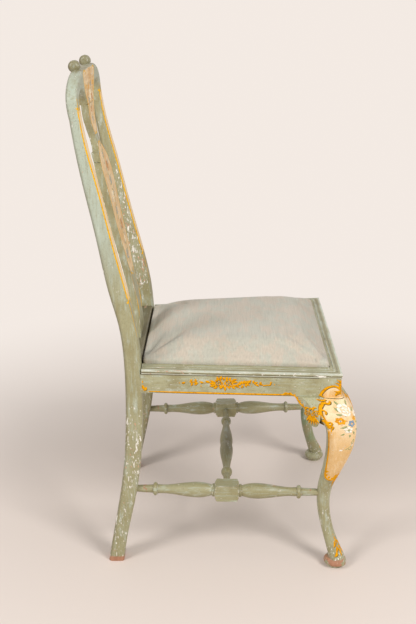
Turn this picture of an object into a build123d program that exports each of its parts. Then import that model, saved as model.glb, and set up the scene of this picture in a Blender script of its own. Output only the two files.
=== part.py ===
from build123d import *
import os
from math import sqrt

# Painted side chair with cabriole front legs, a vase splat, turned stretchers and a
# drop-in upholstered seat. Millimetres. The origin is on the floor, under the middle of
# the chair. The sitter faces -Y, so the sitter's left hand is on the +X side.
# Left-hand pieces are built at +X and mirrored for the right-hand side.

# ---------------------------------------------------------------- driving dimensions

seat_height = 447          # top of the moulding round the seat
moulding_height = 10
rail_bottom = 395
front_half_width = 250.5   # outside of the front leg block
front_face_y = -255        # front of the front rail
rear_half_width = 213      # outside of the rear post at seat level
rear_rail_front_y = 157    # front of the rear rail
post_joint_height = 955    # where the crest rail stands on the posts

leg_block = 44             # square block at the top of a front leg
post_foot_half_width = 230  # outside of a rear post on the floor
post_lean = 0.04           # a post leans in by this much for each unit of height
post_width = 34

front_rail_thickness = 32
side_rail_thickness = 45
rear_rail_thickness = 29
front_rim = 20             # rebate wall behind the face of the front rail
side_rim = 34.5            # rebate wall inside the face of a side rail
ledge_height = 427         # ledge that carries the drop-in seat
moulding_overhang = 2

rail_top = seat_height - moulding_height
rear_rail_back_y = rear_rail_front_y + rear_rail_thickness
seat_length = rear_rail_front_y - front_face_y
splay = (front_half_width - rear_half_width) / seat_length
splay_direction = (-splay, 1, 0)
inward = (-1, 0, 0)
outward = (1, 0, 0)

os.makedirs("parts", exist_ok=True)


def save(part, label):
    """Give a finished piece its name and write it."""
    part.label = label
    export_step(part, f"parts/{label}.step")


def plan(inset, back):
    """Plan point measured from the front left corner of the seat frame: inset from the
    splayed side, and back from the front."""
    return (front_half_width - inset - splay * back, front_face_y + back)


def mirrored(corners):
    """The same plan corners on the other side of the chair, in the opposite order."""
    return [(-x, y) for x, y in reversed(corners)]


def side_strip(outer, inner, start, end):
    """Plan corners of a strip along the splayed left side, from start to end behind the
    front of the seat."""
    return [plan(outer, start), plan(inner, start), plan(inner, end), plan(outer, end)]


# ---------------------------------------------------------------- rear posts, uncut

# A leg and back post are one sawn piece. Side view: (y, height) along each edge.
post_front_edge = [(209, 0), (195, 78), (173, 174), (161, 265), (155, 400), (156, 455),
                   (160, 509), (176.7, 599), (206, 726), (226, 820), (245.5, 903), (254, 955)]
post_back_edge = [(242, 0), (224, 93), (205, 194), (193, 315), (190, 428), (193.5, 505),
                  (200.5, 550), (212.4, 597), (235.8, 722), (259.8, 846), (275.5, 955)]
post_front_round = 5
post_back_round = 8
post_stretch = sqrt(1 + post_lean ** 2)
post_outer_face = Plane(origin=(post_foot_half_width, 0, 0), x_dir=(0, 1, 0), z_dir=(1, 0, post_lean))


def post_middle_x(height):
    """Middle of a post's width at a height."""
    return post_foot_half_width - post_lean * height - post_width / 2


with BuildPart() as post_blank:
    with BuildSketch(post_outer_face):
        with BuildLine():
            front_edge = Spline(*[(y, height * post_stretch) for y, height in post_front_edge])
            back_edge = Spline(*[(y, height * post_stretch) for y, height in post_back_edge])
            Line(front_edge @ 0, back_edge @ 0)
            Line(front_edge @ 1, back_edge @ 1)
        make_face()
    extrude(amount=post_width, dir=inward)
    long_edges = post_blank.edges().filter_by(lambda edge: edge.length > post_joint_height)
    fillet(long_edges.sort_by(Axis.Y)[:2], post_front_round)
    long_edges = post_blank.edges().filter_by(lambda edge: edge.length > post_joint_height)
    fillet(long_edges.sort_by(Axis.Y)[-2:], post_back_round)

# ---------------------------------------------------------------- splat

shoe_height = 9
splat_bottom = seat_height + shoe_height
splat_top = 968            # where the splat enters the crest rail
splat_thickness = 14.5
splat_front_edge = [(168, splat_bottom), (170, 500), (175, 545), (184, 594), (196, 657), (210, 726),
                    (221.5, 790), (240, 870), (251, 916), (256, splat_top)]
collar_half_width = 58
collar_bottom = 851
collar_top = 870
neck_half_width = 34       # under the neck, on top of the collar
body_outline = [(47, splat_bottom), (39, 492), (36, 545), (38, 594), (43, 625), (56, 690), (62, 740),
                (69.5, 792), (71, 826), (67, 842), (55, collar_bottom)]
neck_outline = [(neck_half_width, collar_top), (25, 879), (21.5, 893), (26, 908), (36, 925),
                (46, 950), (51, splat_top)]
tongue_thickness = 8
tongue_half_width = 36
tongue_length = 13
tongue_foot = 16           # through the shoe and into the rail

with BuildPart() as splat:
    with BuildSketch(Plane.XZ):
        with BuildLine():
            Line((0, splat_bottom), body_outline[0])
            Spline(*body_outline)
            Polyline(body_outline[-1], (collar_half_width, collar_bottom), (collar_half_width, collar_top),
                     neck_outline[0])
            Spline(*neck_outline)
            Line(neck_outline[-1], (0, splat_top))
            mirror(about=Plane.YZ)
        make_face()
    extrude(amount=-rear_rail_back_y * 2)
    with BuildSketch(Plane.YZ.offset(-2 * collar_half_width)):
        with BuildLine():
            front_edge = Spline(*splat_front_edge)
            back_edge = Spline(*[(y + splat_thickness, height) for y, height in splat_front_edge])
            Line(front_edge @ 0, back_edge @ 0)
            Line(front_edge @ 1, back_edge @ 1)
        make_face()
    extrude(amount=4 * collar_half_width, mode=Mode.INTERSECT)
    tongue_setback = (splat_thickness - tongue_thickness) / 2
    with BuildSketch(Plane.XY.offset(splat_top)):
        tongue_front = splat_front_edge[-1][0] + tongue_setback
        corners = [(tongue_half_width, tongue_front), (tongue_half_width, tongue_front + tongue_thickness)]
        Polygon(*corners, *mirrored(corners), align=None)
    extrude(amount=tongue_length)
    with BuildSketch(Plane.XY.offset(splat_bottom)):
        tongue_front = splat_front_edge[0][0] + tongue_setback
        corners = [(tongue_half_width, tongue_front), (tongue_half_width, tongue_front + tongue_thickness)]
        Polygon(*corners, *mirrored(corners), align=None)
    extrude(amount=-tongue_foot)

# ---------------------------------------------------------------- corner block screws

# A three-cornered block in each corner of the frame is held by two screws, which bite
# into the rails.
screw_height = 413
screw_radius = 2.2
screw_head_radius = 4.5
screw_head_thickness = 3
screw_bite = 17            # length of screw inside the rail
screw_offset = 34          # from the corner of the block, along each rail
screw_land = 17            # wood between a screw's head and the rail


def screw_seats():
    """Centre of each left screw's seat, under its head, and the way the screw points."""
    front, back = front_rail_thickness, seat_length
    inset = side_rail_thickness
    return [((*plan(inset + screw_offset, front + screw_land), screw_height), (0, -1, 0)),
            ((*plan(inset + screw_land, front + screw_offset), screw_height), outward),
            ((*plan(inset + screw_offset, back - screw_land), screw_height), (0, 1, 0)),
            ((*plan(inset + screw_land, back - screw_offset), screw_height), outward)]


with BuildPart() as corner_block_screws:
    for seat, direction in screw_seats():
        with BuildSketch(Plane(origin=seat, z_dir=direction)):
            Circle(screw_radius)
        extrude(amount=screw_land + screw_bite)
        with BuildSketch(Plane(origin=seat, z_dir=direction)):
            Circle(screw_head_radius)
        extrude(amount=-screw_head_thickness)
    mirror(corner_block_screws.part, about=Plane.YZ)

# ---------------------------------------------------------------- seat rails

tenon_thickness = 12
tenon_bottom = 400
tenon_height = 25
tenon_length = 17
tenon_setback = 14         # from the face of the rail to the tenon
rear_tenon_length = 22
rear_tenon_front_y = 173
rear_tenon_thickness = 10
tenon_back = tenon_setback + tenon_thickness
post_setback = 2           # the posts stand this far in front of the rear rail

with BuildPart() as front_seat_rail:
    with BuildSketch(Plane.XY.offset(rail_bottom)):
        corners = [plan(leg_block, 0), plan(leg_block, front_rail_thickness)]
        Polygon(*corners, *mirrored(corners), align=None)
    extrude(amount=ledge_height - rail_bottom)
    with BuildSketch(Plane.XY.offset(ledge_height)):
        corners = [plan(leg_block, 0), plan(leg_block, front_rim)]
        Polygon(*corners, *mirrored(corners), align=None)
    extrude(amount=rail_top - ledge_height)
    with BuildSketch(Plane.XY.offset(tenon_bottom)):
        corners = [plan(leg_block - tenon_length, tenon_setback), plan(leg_block - tenon_length, tenon_back)]
        Polygon(*corners, *mirrored(corners), align=None)
    extrude(amount=tenon_height)
    add(corner_block_screws.part, mode=Mode.SUBTRACT)

with BuildPart() as side_seat_rail_left:
    with BuildSketch(Plane.XY.offset(rail_bottom)):
        Polygon(*side_strip(0, side_rail_thickness, leg_block, seat_length), align=None)
    extrude(amount=ledge_height - rail_bottom)
    with BuildSketch(Plane.XY.offset(ledge_height)):
        Polygon(*side_strip(0, side_rim, leg_block, seat_length), align=None)
    extrude(amount=rail_top - ledge_height)
    add(post_blank.part, mode=Mode.SUBTRACT)
    with BuildSketch(Plane.XY.offset(tenon_bottom)):
        tenon_start = leg_block - tenon_length
        tenon_end = seat_length - post_setback + tenon_length
        Polygon(*side_strip(tenon_setback, tenon_back, tenon_start, tenon_end), align=None)
    extrude(amount=tenon_height)
    add(corner_block_screws.part, mode=Mode.SUBTRACT)

with BuildPart() as rear_seat_rail:
    with BuildSketch(Plane.XY.offset(rail_bottom)):
        corners = [(post_middle_x(rail_bottom), rear_rail_front_y),
                   (post_middle_x(rail_bottom), rear_rail_back_y)]
        Polygon(*corners, *mirrored(corners), align=None)
    extrude(amount=seat_height - rail_bottom)
    add(post_blank.part, mode=Mode.SUBTRACT)
    mirror(post_blank.part, about=Plane.YZ, mode=Mode.SUBTRACT)
    with BuildSketch(Plane.XY.offset(tenon_bottom)):
        tenon_end = post_middle_x(tenon_bottom) - post_width / 2 + rear_tenon_length
        corners = [(tenon_end, rear_tenon_front_y), (tenon_end, rear_tenon_front_y + rear_tenon_thickness)]
        Polygon(*corners, *mirrored(corners), align=None)
    extrude(amount=tenon_height)
    add(corner_block_screws.part, mode=Mode.SUBTRACT)
    add(splat.part, mode=Mode.SUBTRACT)

# ---------------------------------------------------------------- moulding round the seat

bead_top_round = 4
bead_bottom_round = 2.5
groove_inset = 13
groove_width = 1.6
groove_depth = 1.2
moulding_post_gap = 2.5    # short of the rear rail's front face, where the rear posts stand
mitre_outer = plan(-moulding_overhang, -moulding_overhang)
mitre_inner = plan(side_rim, front_rim)


def mitre_plane(side):
    """Upright plane through the mitre at one front corner, facing the middle of the chair."""
    run_x = mitre_outer[0] - mitre_inner[0]
    run_y = mitre_outer[1] - mitre_inner[1]
    return Plane(origin=(side * mitre_outer[0], mitre_outer[1], 0), x_dir=(0, 0, 1),
                 z_dir=(side * run_y, -run_x, 0))


def moulding_section(rim):
    """Section of the moulding, outer side to the right: a bead with a groove behind it."""
    with BuildSketch() as section:
        Polygon((moulding_overhang, rail_top), (moulding_overhang, seat_height), (-rim, seat_height),
                (-rim, rail_top), align=None)
        outer = section.vertices().group_by(Axis.X)[-1].sort_by(Axis.Y)
        fillet(outer[0], bead_bottom_round)
        fillet(outer[-1], bead_top_round)
        with Locations((-groove_inset - groove_width / 2, seat_height - groove_depth / 2)):
            Rectangle(groove_width, groove_depth, mode=Mode.SUBTRACT)
    return section.sketch


with BuildPart() as seat_moulding_left:
    back_end = plan(0, seat_length - moulding_post_gap)
    with BuildSketch(Plane(origin=(*back_end, 0), x_dir=outward, z_dir=(0, -1, 0))):
        add(moulding_section(side_rim))
    extrude(amount=seat_length + side_rim, dir=(splay, -1, 0))
    split(bisect_by=mitre_plane(1), keep=Keep.BOTTOM)

with BuildPart() as seat_moulding_front:
    start_x = front_half_width + side_rim
    with BuildSketch(Plane(origin=(start_x, front_face_y, 0), x_dir=(0, -1, 0), z_dir=inward)):
        add(moulding_section(front_rim))
    extrude(amount=2 * start_x)
    split(bisect_by=mitre_plane(1), keep=Keep.TOP)
    split(bisect_by=mitre_plane(-1), keep=Keep.TOP)

# ---------------------------------------------------------------- turned stretchers

stretcher_rear_end = Vector(206.5, 190, 167.2)    # inside the rear post
stretcher_front_end = Vector(221.5, -229, 160.9)  # inside the ankle of the front leg
stretcher_middle = (stretcher_rear_end + stretcher_front_end) / 2
stretcher_line = (stretcher_front_end - stretcher_rear_end).normalized()
stretcher_level = stretcher_line.cross(Vector(0, 0, 1)).normalized()
stretcher_half = (stretcher_front_end - stretcher_rear_end).length / 2
stretcher_plane = Plane(origin=stretcher_middle, x_dir=stretcher_line, z_dir=stretcher_level)
stretcher_section = Plane(origin=stretcher_middle, x_dir=stretcher_level, z_dir=stretcher_line)

# Turned outlines: distance from the middle of the stretcher, and radius.
side_neck = [(0, 14), (31, 14), (32.5, 11.5)]
side_swell = [(32.5, 11.5), (57, 16.5), (112, 11.5), (150, 10)]
side_ring = [(150, 10), (154.5, 14.5), (159, 9)]
cross_vase = [(0, 13.5), (55, 13.3), (104, 8.2), (119, 7.6)]
cross_ball = [(119, 7.6), (132, 12.2), (145, 7.6)]

block_half = 26            # square block in the middle of a side stretcher
block_width = 36
block_end_radius = 17      # where the square is turned down to the round
block_shoulder = 9         # length over which it is turned down
side_end_length = 16
side_end_radius = 7.5
cross_end_radius = 7
cross_tenon_radius = 6.5
cross_tenon_length = 12
cross_shoulder_gap = 0.4   # between the cross stretcher's shoulder and the block


def turned_half(direction, beginning, ring, ending):
    """Half of a turned outline: a spline, a ring and a straight end, closed on the axis."""
    def placed(points):
        return [(direction * distance, radius) for distance, radius in points]
    Line((0, 0), placed(beginning[0])[0])
    for points in beginning[:-1]:
        Polyline(*placed(points))
    Spline(*placed(beginning[-1]))
    ThreePointArc(*placed(ring))
    Polyline(*placed([ring[-1], *ending, (ending[-1][0], 0)]), (0, 0))


with BuildPart() as side_stretcher_left:
    with BuildSketch(stretcher_section):
        Rectangle(block_width, block_width)
    extrude(amount=block_half, both=True)
    with BuildSketch(stretcher_plane):
        with BuildLine():
            Polyline((-block_half, 0), (-block_half, block_end_radius),
                     (-block_half + block_shoulder, block_width), (block_half - block_shoulder, block_width),
                     (block_half, block_end_radius), (block_half, 0), (-block_half, 0))
        make_face()
    revolve(axis=Axis(stretcher_middle, stretcher_line), mode=Mode.INTERSECT)
    side_end = [(stretcher_half - side_end_length, side_end_radius), (stretcher_half, side_end_radius)]
    for direction in (-1, 1):
        with BuildSketch(stretcher_plane):
            with BuildLine():
                turned_half(direction, [side_neck, side_swell], side_ring, side_end)
            make_face()
        revolve(axis=Axis(stretcher_middle, stretcher_line))
    block_inner_x = stretcher_middle.X - block_width / 2
    with BuildSketch(Plane(origin=(block_inner_x, stretcher_middle.Y, stretcher_middle.Z), z_dir=outward)):
        Circle(cross_tenon_radius)
    extrude(amount=cross_tenon_length, mode=Mode.SUBTRACT)

with BuildPart() as cross_stretcher:
    centre = Vector(0, stretcher_middle.Y, stretcher_middle.Z)
    shoulder_x = block_inner_x - cross_shoulder_gap
    cross_tip_x = block_inner_x + cross_tenon_length
    cross_end = [(shoulder_x, cross_end_radius), (shoulder_x, cross_tenon_radius),
                 (cross_tip_x, cross_tenon_radius)]
    with BuildSketch(Plane(origin=centre, x_dir=outward, z_dir=(0, -1, 0))):
        for direction in (-1, 1):
            with BuildLine():
                turned_half(direction, [cross_vase], cross_ball, cross_end)
            make_face()
    revolve(axis=Axis(centre, outward))
    add(side_stretcher_left.part, mode=Mode.SUBTRACT)
    mirror(side_stretcher_left.part, about=Plane.YZ, mode=Mode.SUBTRACT)

# ---------------------------------------------------------------- cabriole front legs

# Cross-sections up the leg: height, bulge past the block's faces, depth behind them,
# then how round the outer, side and inner corners are, from 0 to 1.
leg_sections = [
    (8, 20, 12, 1, 1, 1), (31, 13.5, 19, 1, 1, 1), (65, -1.5, 28, 1, 1, 1),
    (124, -14, 40.5, 1, 1, 1), (176, -10, 41, 1, 1, 1), (215, 2.5, 35, 0.85, 0.9, 0.9),
    (250, 14.5, 30, 0.7, 0.8, 0.9), (285, 25, 27, 0.6, 0.7, 0.8), (312, 30, 27, 0.6, 0.5, 0.6),
    (335, 31.5, 31, 0.6, 0.25, 0.4), (353, 30, 39, 0.6, 0.06, 0.1), (370, 24.5, 44, 0.6, 0.04, 0.04),
    (386, 14, 44, 0.5, 0.04, 0.04), (397, 5, 44, 0.4, 0.04, 0.04)]
full_round = 0.485         # of a section's size, for a corner rounding of 1
block_arris_round = 1.5
pad_inset = 3              # centre of the round foot behind the block's faces
pad_profile = [(17.5, 3), (20, 4.5), (23.6, 9), (23.9, 13), (21.5, 18), (15, 21.5)]
pad_disc_radius = 17.5


def leg_section(height, bulge, depth, outer_round, side_round, inner_round):
    """Rounded square across the leg, in line with the faces of its block."""
    half_size = full_round * (bulge + depth)
    outer = plan(-bulge, -bulge)
    inner = plan(depth, depth)
    sides = [plan(depth, -bulge), plan(-bulge, depth)]
    with BuildSketch(Plane.XY.offset(height)) as section:
        Polygon(outer, sides[0], inner, sides[1], align=None)
        rounds = [(outer, outer_round), (sides[0], side_round), (inner, inner_round), (sides[1], side_round)]
        for corner, roundness in rounds:
            vertex = section.vertices().sort_by_distance((*corner, 0))[0]
            fillet(vertex, roundness * half_size)
    return section.sketch


with BuildPart() as front_leg_left:
    loft([leg_section(*numbers) for numbers in leg_sections])
    with BuildSketch(Plane.XY.offset(rail_bottom)) as block:
        Polygon(*side_strip(0, leg_block, 0, leg_block), align=None)
        fillet(block.vertices().sort_by_distance((*plan(0, 0), 0))[0], block_arris_round)
    extrude(amount=rail_top - rail_bottom)
    pad_centre = plan(pad_inset, pad_inset)
    with BuildSketch(Plane(origin=(*pad_centre, 0), x_dir=(1, 0, 0), z_dir=(0, -1, 0))):
        with BuildLine():
            Polyline((0, 0), (pad_disc_radius, 0), pad_profile[0])
            Spline(*pad_profile)
            Polyline(pad_profile[-1], (0, pad_profile[-1][1]), (0, 0))
        make_face()
    revolve(axis=Axis((*pad_centre, 0), (0, 0, 1)))
    with BuildSketch(Plane.XY.offset(ledge_height)):
        Polygon(plan(side_rim, front_rim), plan(leg_block, front_rim), plan(leg_block, leg_block),
                plan(side_rim, leg_block), align=None)
    extrude(amount=rail_top - ledge_height, mode=Mode.SUBTRACT)
    add(front_seat_rail.part, mode=Mode.SUBTRACT)
    add(side_seat_rail_left.part, mode=Mode.SUBTRACT)
    add(side_stretcher_left.part, mode=Mode.SUBTRACT)

post_tenon_width = 16
post_tenon_thickness = 9
post_tenon_length = 26
post_tenon_setback = 6.5
crest_post_middle = post_middle_x(post_joint_height)

with BuildPart() as rear_post_left:
    add(post_blank.part)
    with BuildSketch(Plane.XY.offset(post_joint_height)):
        with Locations((crest_post_middle, post_front_edge[-1][0] + post_tenon_setback)):
            Rectangle(post_tenon_width, post_tenon_thickness, align=(Align.CENTER, Align.MIN))
    extrude(amount=post_tenon_length)
    add(side_seat_rail_left.part, mode=Mode.SUBTRACT)
    add(rear_seat_rail.part, mode=Mode.SUBTRACT)
    add(side_stretcher_left.part, mode=Mode.SUBTRACT)

# ---------------------------------------------------------------- knee brackets

# A bracket is glued under a rail against the block of the leg. Its face outline is in
# distance from the leg's corner and height; its back is flat, and its face swells from
# the rail out to the knee, both along the rail and down the leg.
bracket_end = 94.5
bracket_edge = [(bracket_end, rail_bottom), (87, 383), (80, 373.5), (72.5, 371.5)]
bracket_scroll = [(72.5, 371.5), (74, 360), (69, 347), (60, 339.5), (51, 340), (46.5, 348), (leg_block, 357)]
bracket_swell = [(leg_block, -29.5), (57, -23), (75, -8), (bracket_end, -0.5)]
bracket_drop = [(-5, rail_bottom), (-14, 386), (-24.5, 370), (-30, 353), (-31.5, 335)]
bracket_back = 22          # thickness behind the face of the rail
front_plane = Plane(origin=(front_half_width, front_face_y, 0), x_dir=inward, z_dir=(0, 1, 0))
side_plane = Plane(origin=(front_half_width, front_face_y, 0), x_dir=splay_direction, z_dir=(1, splay, 0))
side_stretch = sqrt(1 + splay ** 2)


def knee_bracket(under_front_rail):
    """One bracket, under the front rail or under the left side rail."""
    if under_front_rail:
        face_plane, face_stretch, through = front_plane, 1, splay_direction
        end_plane, end_stretch, along = side_plane, side_stretch, inward
    else:
        face_plane, face_stretch, through = side_plane, side_stretch, inward
        end_plane, end_stretch, along = front_plane, 1, splay_direction

    def swell_point(distance, out):
        return plan(distance, out) if under_front_rail else plan(out, distance)

    with BuildPart() as bracket:
        with BuildSketch(face_plane):
            with BuildLine():
                edge = [(distance * face_stretch, height) for distance, height in bracket_edge]
                scroll = [(distance * face_stretch, height) for distance, height in bracket_scroll]
                Spline(*edge)
                Spline(*scroll)
                Polyline(scroll[-1], (leg_block * face_stretch, rail_bottom), edge[0])
            make_face()
        extrude(amount=2 * bracket_back, dir=through, both=True)
        with BuildSketch(Plane.XY.offset(bracket_scroll[3][1] - 10)):
            with BuildLine():
                swell = [swell_point(distance, out) for distance, out in bracket_swell]
                Spline(*swell)
                Polyline(swell[-1], swell_point(bracket_end, bracket_back),
                         swell_point(leg_block, bracket_back), swell[0])
            make_face()
        extrude(amount=rail_bottom, mode=Mode.INTERSECT)
        with BuildSketch(end_plane):
            with BuildLine():
                drop = [(out * end_stretch, height) for out, height in bracket_drop]
                Spline(*drop)
                Polyline(drop[-1], (bracket_back * end_stretch, drop[-1][1]),
                         (bracket_back * end_stretch, rail_bottom), drop[0])
            make_face()
        extrude(amount=2 * bracket_end, dir=along, mode=Mode.INTERSECT)
        add(front_leg_left.part, mode=Mode.SUBTRACT)
    return bracket.part


with BuildPart() as knee_bracket_side_left:
    add(knee_bracket(under_front_rail=False))

with BuildPart() as knee_bracket_front_left:
    add(knee_bracket(under_front_rail=True))

# ---------------------------------------------------------------- shoe under the splat

shoe_front_round = 3

with BuildPart() as splat_shoe:
    with BuildSketch(Plane.XY.offset(seat_height)):
        corners = [(post_middle_x(seat_height), rear_rail_front_y),
                   (post_middle_x(seat_height), rear_rail_back_y)]
        Polygon(*corners, *mirrored(corners), align=None)
    extrude(amount=shoe_height)
    fillet(splat_shoe.edges().filter_by(Axis.X).group_by(Axis.Z)[-1].sort_by(Axis.Y)[0], shoe_front_round)
    add(post_blank.part, mode=Mode.SUBTRACT)
    mirror(post_blank.part, about=Plane.YZ, mode=Mode.SUBTRACT)
    add(splat.part, mode=Mode.SUBTRACT)

# ---------------------------------------------------------------- crest rail

# Front view of one half: over the shoulder, then back along the arch beside the splat.
crest_centre_height = 1043
shoulder_outline = [(0, crest_centre_height), (60, crest_centre_height), (105, 1041), (131, 1036),
                    (154, 1028), (176, 1014), (187, 1000), (190.4, 984)]
arch_outline = [(156.9, 976), (149.5, 995), (134, 1004), (110, 1005), (88, 1001.5), (69, 990.5),
                (56.5, 978), (51, splat_top)]
crest_front_edge = [(254, post_joint_height), (256, splat_top), (257.5, 995), (258, 1046)]
crest_back_edge = [(275.5, post_joint_height), (278, splat_top), (280.5, 1000), (280, 1046)]
crest_back_round = 7
crest_bends = 8            # long edges of each face: shoulders, posts' sides and arches
knob_x = 79
knob_y = 275
knob_height = 1048
knob_radius = 12
knob_half_length = 13
knob_round = 8

with BuildPart() as crest_rail:
    with BuildSketch(Plane.XZ):
        with BuildLine():
            Spline(*shoulder_outline)
            Polyline(shoulder_outline[-1], (crest_post_middle + post_width / 2, post_joint_height),
                     (crest_post_middle - post_width / 2, post_joint_height), arch_outline[0])
            Spline(*arch_outline)
            Line(arch_outline[-1], (0, splat_top))
            mirror(about=Plane.YZ)
        make_face()
    extrude(amount=-2 * rear_rail_back_y)
    with BuildSketch(Plane.YZ.offset(-2 * crest_post_middle)):
        with BuildLine():
            Spline(*crest_front_edge)
            Spline(*crest_back_edge)
            Line(crest_front_edge[0], crest_back_edge[0])
            Line(crest_front_edge[-1], crest_back_edge[-1])
        make_face()
    extrude(amount=4 * crest_post_middle, mode=Mode.INTERSECT)
    bends = crest_rail.edges().filter_by(Axis.X, reverse=True).filter_by(Axis.Y, reverse=True)
    fillet(bends.sort_by(Axis.Y)[:crest_bends], post_front_round)
    bends = crest_rail.edges().filter_by(Axis.X, reverse=True).filter_by(Axis.Y, reverse=True)
    fillet(bends.sort_by(Axis.Y)[-crest_bends:], crest_back_round)
    for side in (-1, 1):
        knob_centre = (side * knob_x, knob_y, knob_height)
        with BuildSketch(Plane(origin=knob_centre, x_dir=(1, 0, 0), z_dir=(0, -1, 0))) as knob_profile:
            with Locations((0, knob_radius / 2)):
                Rectangle(2 * knob_half_length, knob_radius)
            fillet(knob_profile.vertices().group_by(Axis.Y)[-1], knob_round)
        revolve(axis=Axis(knob_centre, (1, 0, 0)))
    add(rear_post_left.part, mode=Mode.SUBTRACT)
    mirror(rear_post_left.part, about=Plane.YZ, mode=Mode.SUBTRACT)
    add(splat.part, mode=Mode.SUBTRACT)

# ---------------------------------------------------------------- corner blocks

corner_block_bottom = 402
corner_block_top = 424
corner_reach = 67
screw_pocket_radius = 5.2


def corner_block(front_corner):
    """Plan corners of the left block at the front or the back of the frame."""
    if front_corner:
        corner, toward_back = front_rail_thickness, 1
    else:
        corner, toward_back = seat_length, -1
    return [plan(side_rail_thickness, corner), plan(side_rail_thickness + corner_reach, corner),
            plan(side_rail_thickness, corner + toward_back * corner_reach)]


def drilled_block(front_corner):
    """A corner block with its screw holes and the pockets over their heads."""
    with BuildPart() as block:
        with BuildSketch(Plane.XY.offset(corner_block_bottom)):
            Polygon(*corner_block(front_corner), align=None)
        extrude(amount=corner_block_top - corner_block_bottom)
        for seat, direction in screw_seats():
            with BuildSketch(Plane(origin=seat, z_dir=direction)):
                Circle(screw_pocket_radius)
            extrude(amount=-corner_reach, mode=Mode.SUBTRACT)
        add(corner_block_screws.part, mode=Mode.SUBTRACT)
        add(front_leg_left.part, mode=Mode.SUBTRACT)
    return block.part


with BuildPart() as corner_block_front_left:
    add(drilled_block(front_corner=True))

with BuildPart() as corner_block_rear_left:
    add(drilled_block(front_corner=False))

# ---------------------------------------------------------------- drop-in seat

seat_gap = 1               # between the seat and the rebate
seat_back_gap = 4          # between the seat and the rear rail
cover_thickness = 1.5
seat_corner_round = 6
slip_rail_width = 45
slip_rail_thickness = 17
bridle_length = 25
bridle_thickness = 6
web_width = 50
web_pitch = 75             # between the strips that run from front to back
web_count = 4
web_thickness = 1
burlap_thickness = 1
burlap_inset = 6
hem_width = 30
dust_cover_inset = 14
dust_cover_thickness = 1
tack_inset = 21
tack_spacing = 38
tack_head_radius = 4
tack_radius = 0.9
tack_length = 12
crown_corner_gain = 0.2    # how much rounder the corners get, per millimetre of inset
# Top of the seat: height, and inset from its edge.
crown_sections = [(452, 0), (461, 2.5), (470, 10), (476.5, 24), (481.5, 50), (484.5, 88), (486, 135)]

slip_bottom = ledge_height + cover_thickness
slip_top = slip_bottom + slip_rail_thickness
stuffing_bottom = slip_top + 2 * web_thickness + burlap_thickness


def seat_outline(inset, height, round_radius=seat_corner_round):
    """Outline of the drop-in seat, brought in by an inset."""
    side = side_rim + seat_gap + inset
    corners = [plan(side, seat_length - seat_back_gap - inset), plan(side, front_rim + seat_gap + inset)]
    with BuildSketch(Plane.XY.offset(height)) as outline:
        Polygon(*corners, *mirrored(corners), align=None)
        fillet(outline.vertices(), round_radius)
    return outline.sketch


def crown(inset, drop):
    """Sections of the crowned top of the seat, brought in and down by a thickness."""
    return [seat_outline(edge + inset, height - drop, seat_corner_round + crown_corner_gain * edge)
            for height, edge in crown_sections]


def slip_rail(start, end):
    """A front or back rail of the seat's own frame, with the seat's rounded corners."""
    with BuildPart() as rail:
        add(seat_outline(cover_thickness, slip_bottom))
        extrude(amount=slip_rail_thickness)
        with BuildSketch(Plane.XY.offset(slip_bottom)):
            corners = [plan(slip_inset, start), plan(slip_inset, end)]
            Polygon(*corners, *mirrored(corners), align=None)
        extrude(amount=slip_rail_thickness, mode=Mode.INTERSECT)
        add(slip_frame_left.part, mode=Mode.SUBTRACT)
        mirror(slip_frame_left.part, about=Plane.YZ, mode=Mode.SUBTRACT)
        add(seat_tacks.part, mode=Mode.SUBTRACT)
    return rail.part


with BuildPart() as seat_tacks:
    tack_side = side_rim + seat_gap + tack_inset
    tack_front = front_rim + seat_gap + tack_inset
    tack_back = seat_length - seat_back_gap - tack_inset
    side_count = round((tack_back - tack_front) / tack_spacing)
    side_tacks = [plan(tack_side, tack_front + (tack_back - tack_front) * step / side_count)
                  for step in range(side_count + 1)]
    end_tacks = []
    for corner_x, row_y in (side_tacks[0], side_tacks[-1]):
        row_count = round(2 * corner_x / tack_spacing)
        end_tacks += [(corner_x * (2 * step / row_count - 1), row_y) for step in range(1, row_count)]
    tack_points = [*side_tacks, *mirrored(side_tacks), *end_tacks]
    tack_seat = ledge_height - dust_cover_thickness
    with BuildSketch(Plane.XY.offset(tack_seat)):
        with Locations(*tack_points):
            Circle(tack_head_radius)
    extrude(amount=-dust_cover_thickness)
    with BuildSketch(Plane.XY.offset(tack_seat)):
        with Locations(*tack_points):
            Circle(tack_radius)
    extrude(amount=tack_length)

slip_inset = side_rim + seat_gap + cover_thickness
slip_front = front_rim + seat_gap + cover_thickness
slip_back = seat_length - seat_back_gap - cover_thickness
slip_side = (slip_inset, slip_inset + slip_rail_width)
bridle_bottom = slip_bottom + (slip_rail_thickness - bridle_thickness) / 2

with BuildPart() as slip_frame_left:
    with BuildSketch(Plane.XY.offset(slip_bottom)):
        side_start = slip_front + slip_rail_width
        side_end = slip_back - slip_rail_width
        Polygon(*side_strip(*slip_side, side_start, side_end), align=None)
    extrude(amount=slip_rail_thickness)
    with BuildSketch(Plane.XY.offset(bridle_bottom)):
        Polygon(*side_strip(*slip_side, side_start - bridle_length, side_end + bridle_length), align=None)
    extrude(amount=bridle_thickness)
    add(seat_tacks.part, mode=Mode.SUBTRACT)

with BuildPart() as slip_frame_front:
    add(slip_rail(slip_front, slip_front + slip_rail_width))

with BuildPart() as slip_frame_rear:
    add(slip_rail(slip_back - slip_rail_width, slip_back))

slip_middle_y = front_face_y + (slip_front + slip_back) / 2
slip_length = slip_back - slip_front

with BuildPart() as seat_webbing_long:
    with BuildSketch(Plane.XY.offset(slip_top)):
        with Locations((0, slip_middle_y)):
            with GridLocations(web_pitch, 1, web_count, 1):
                Rectangle(web_width, slip_length)
    extrude(amount=web_thickness)

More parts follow.
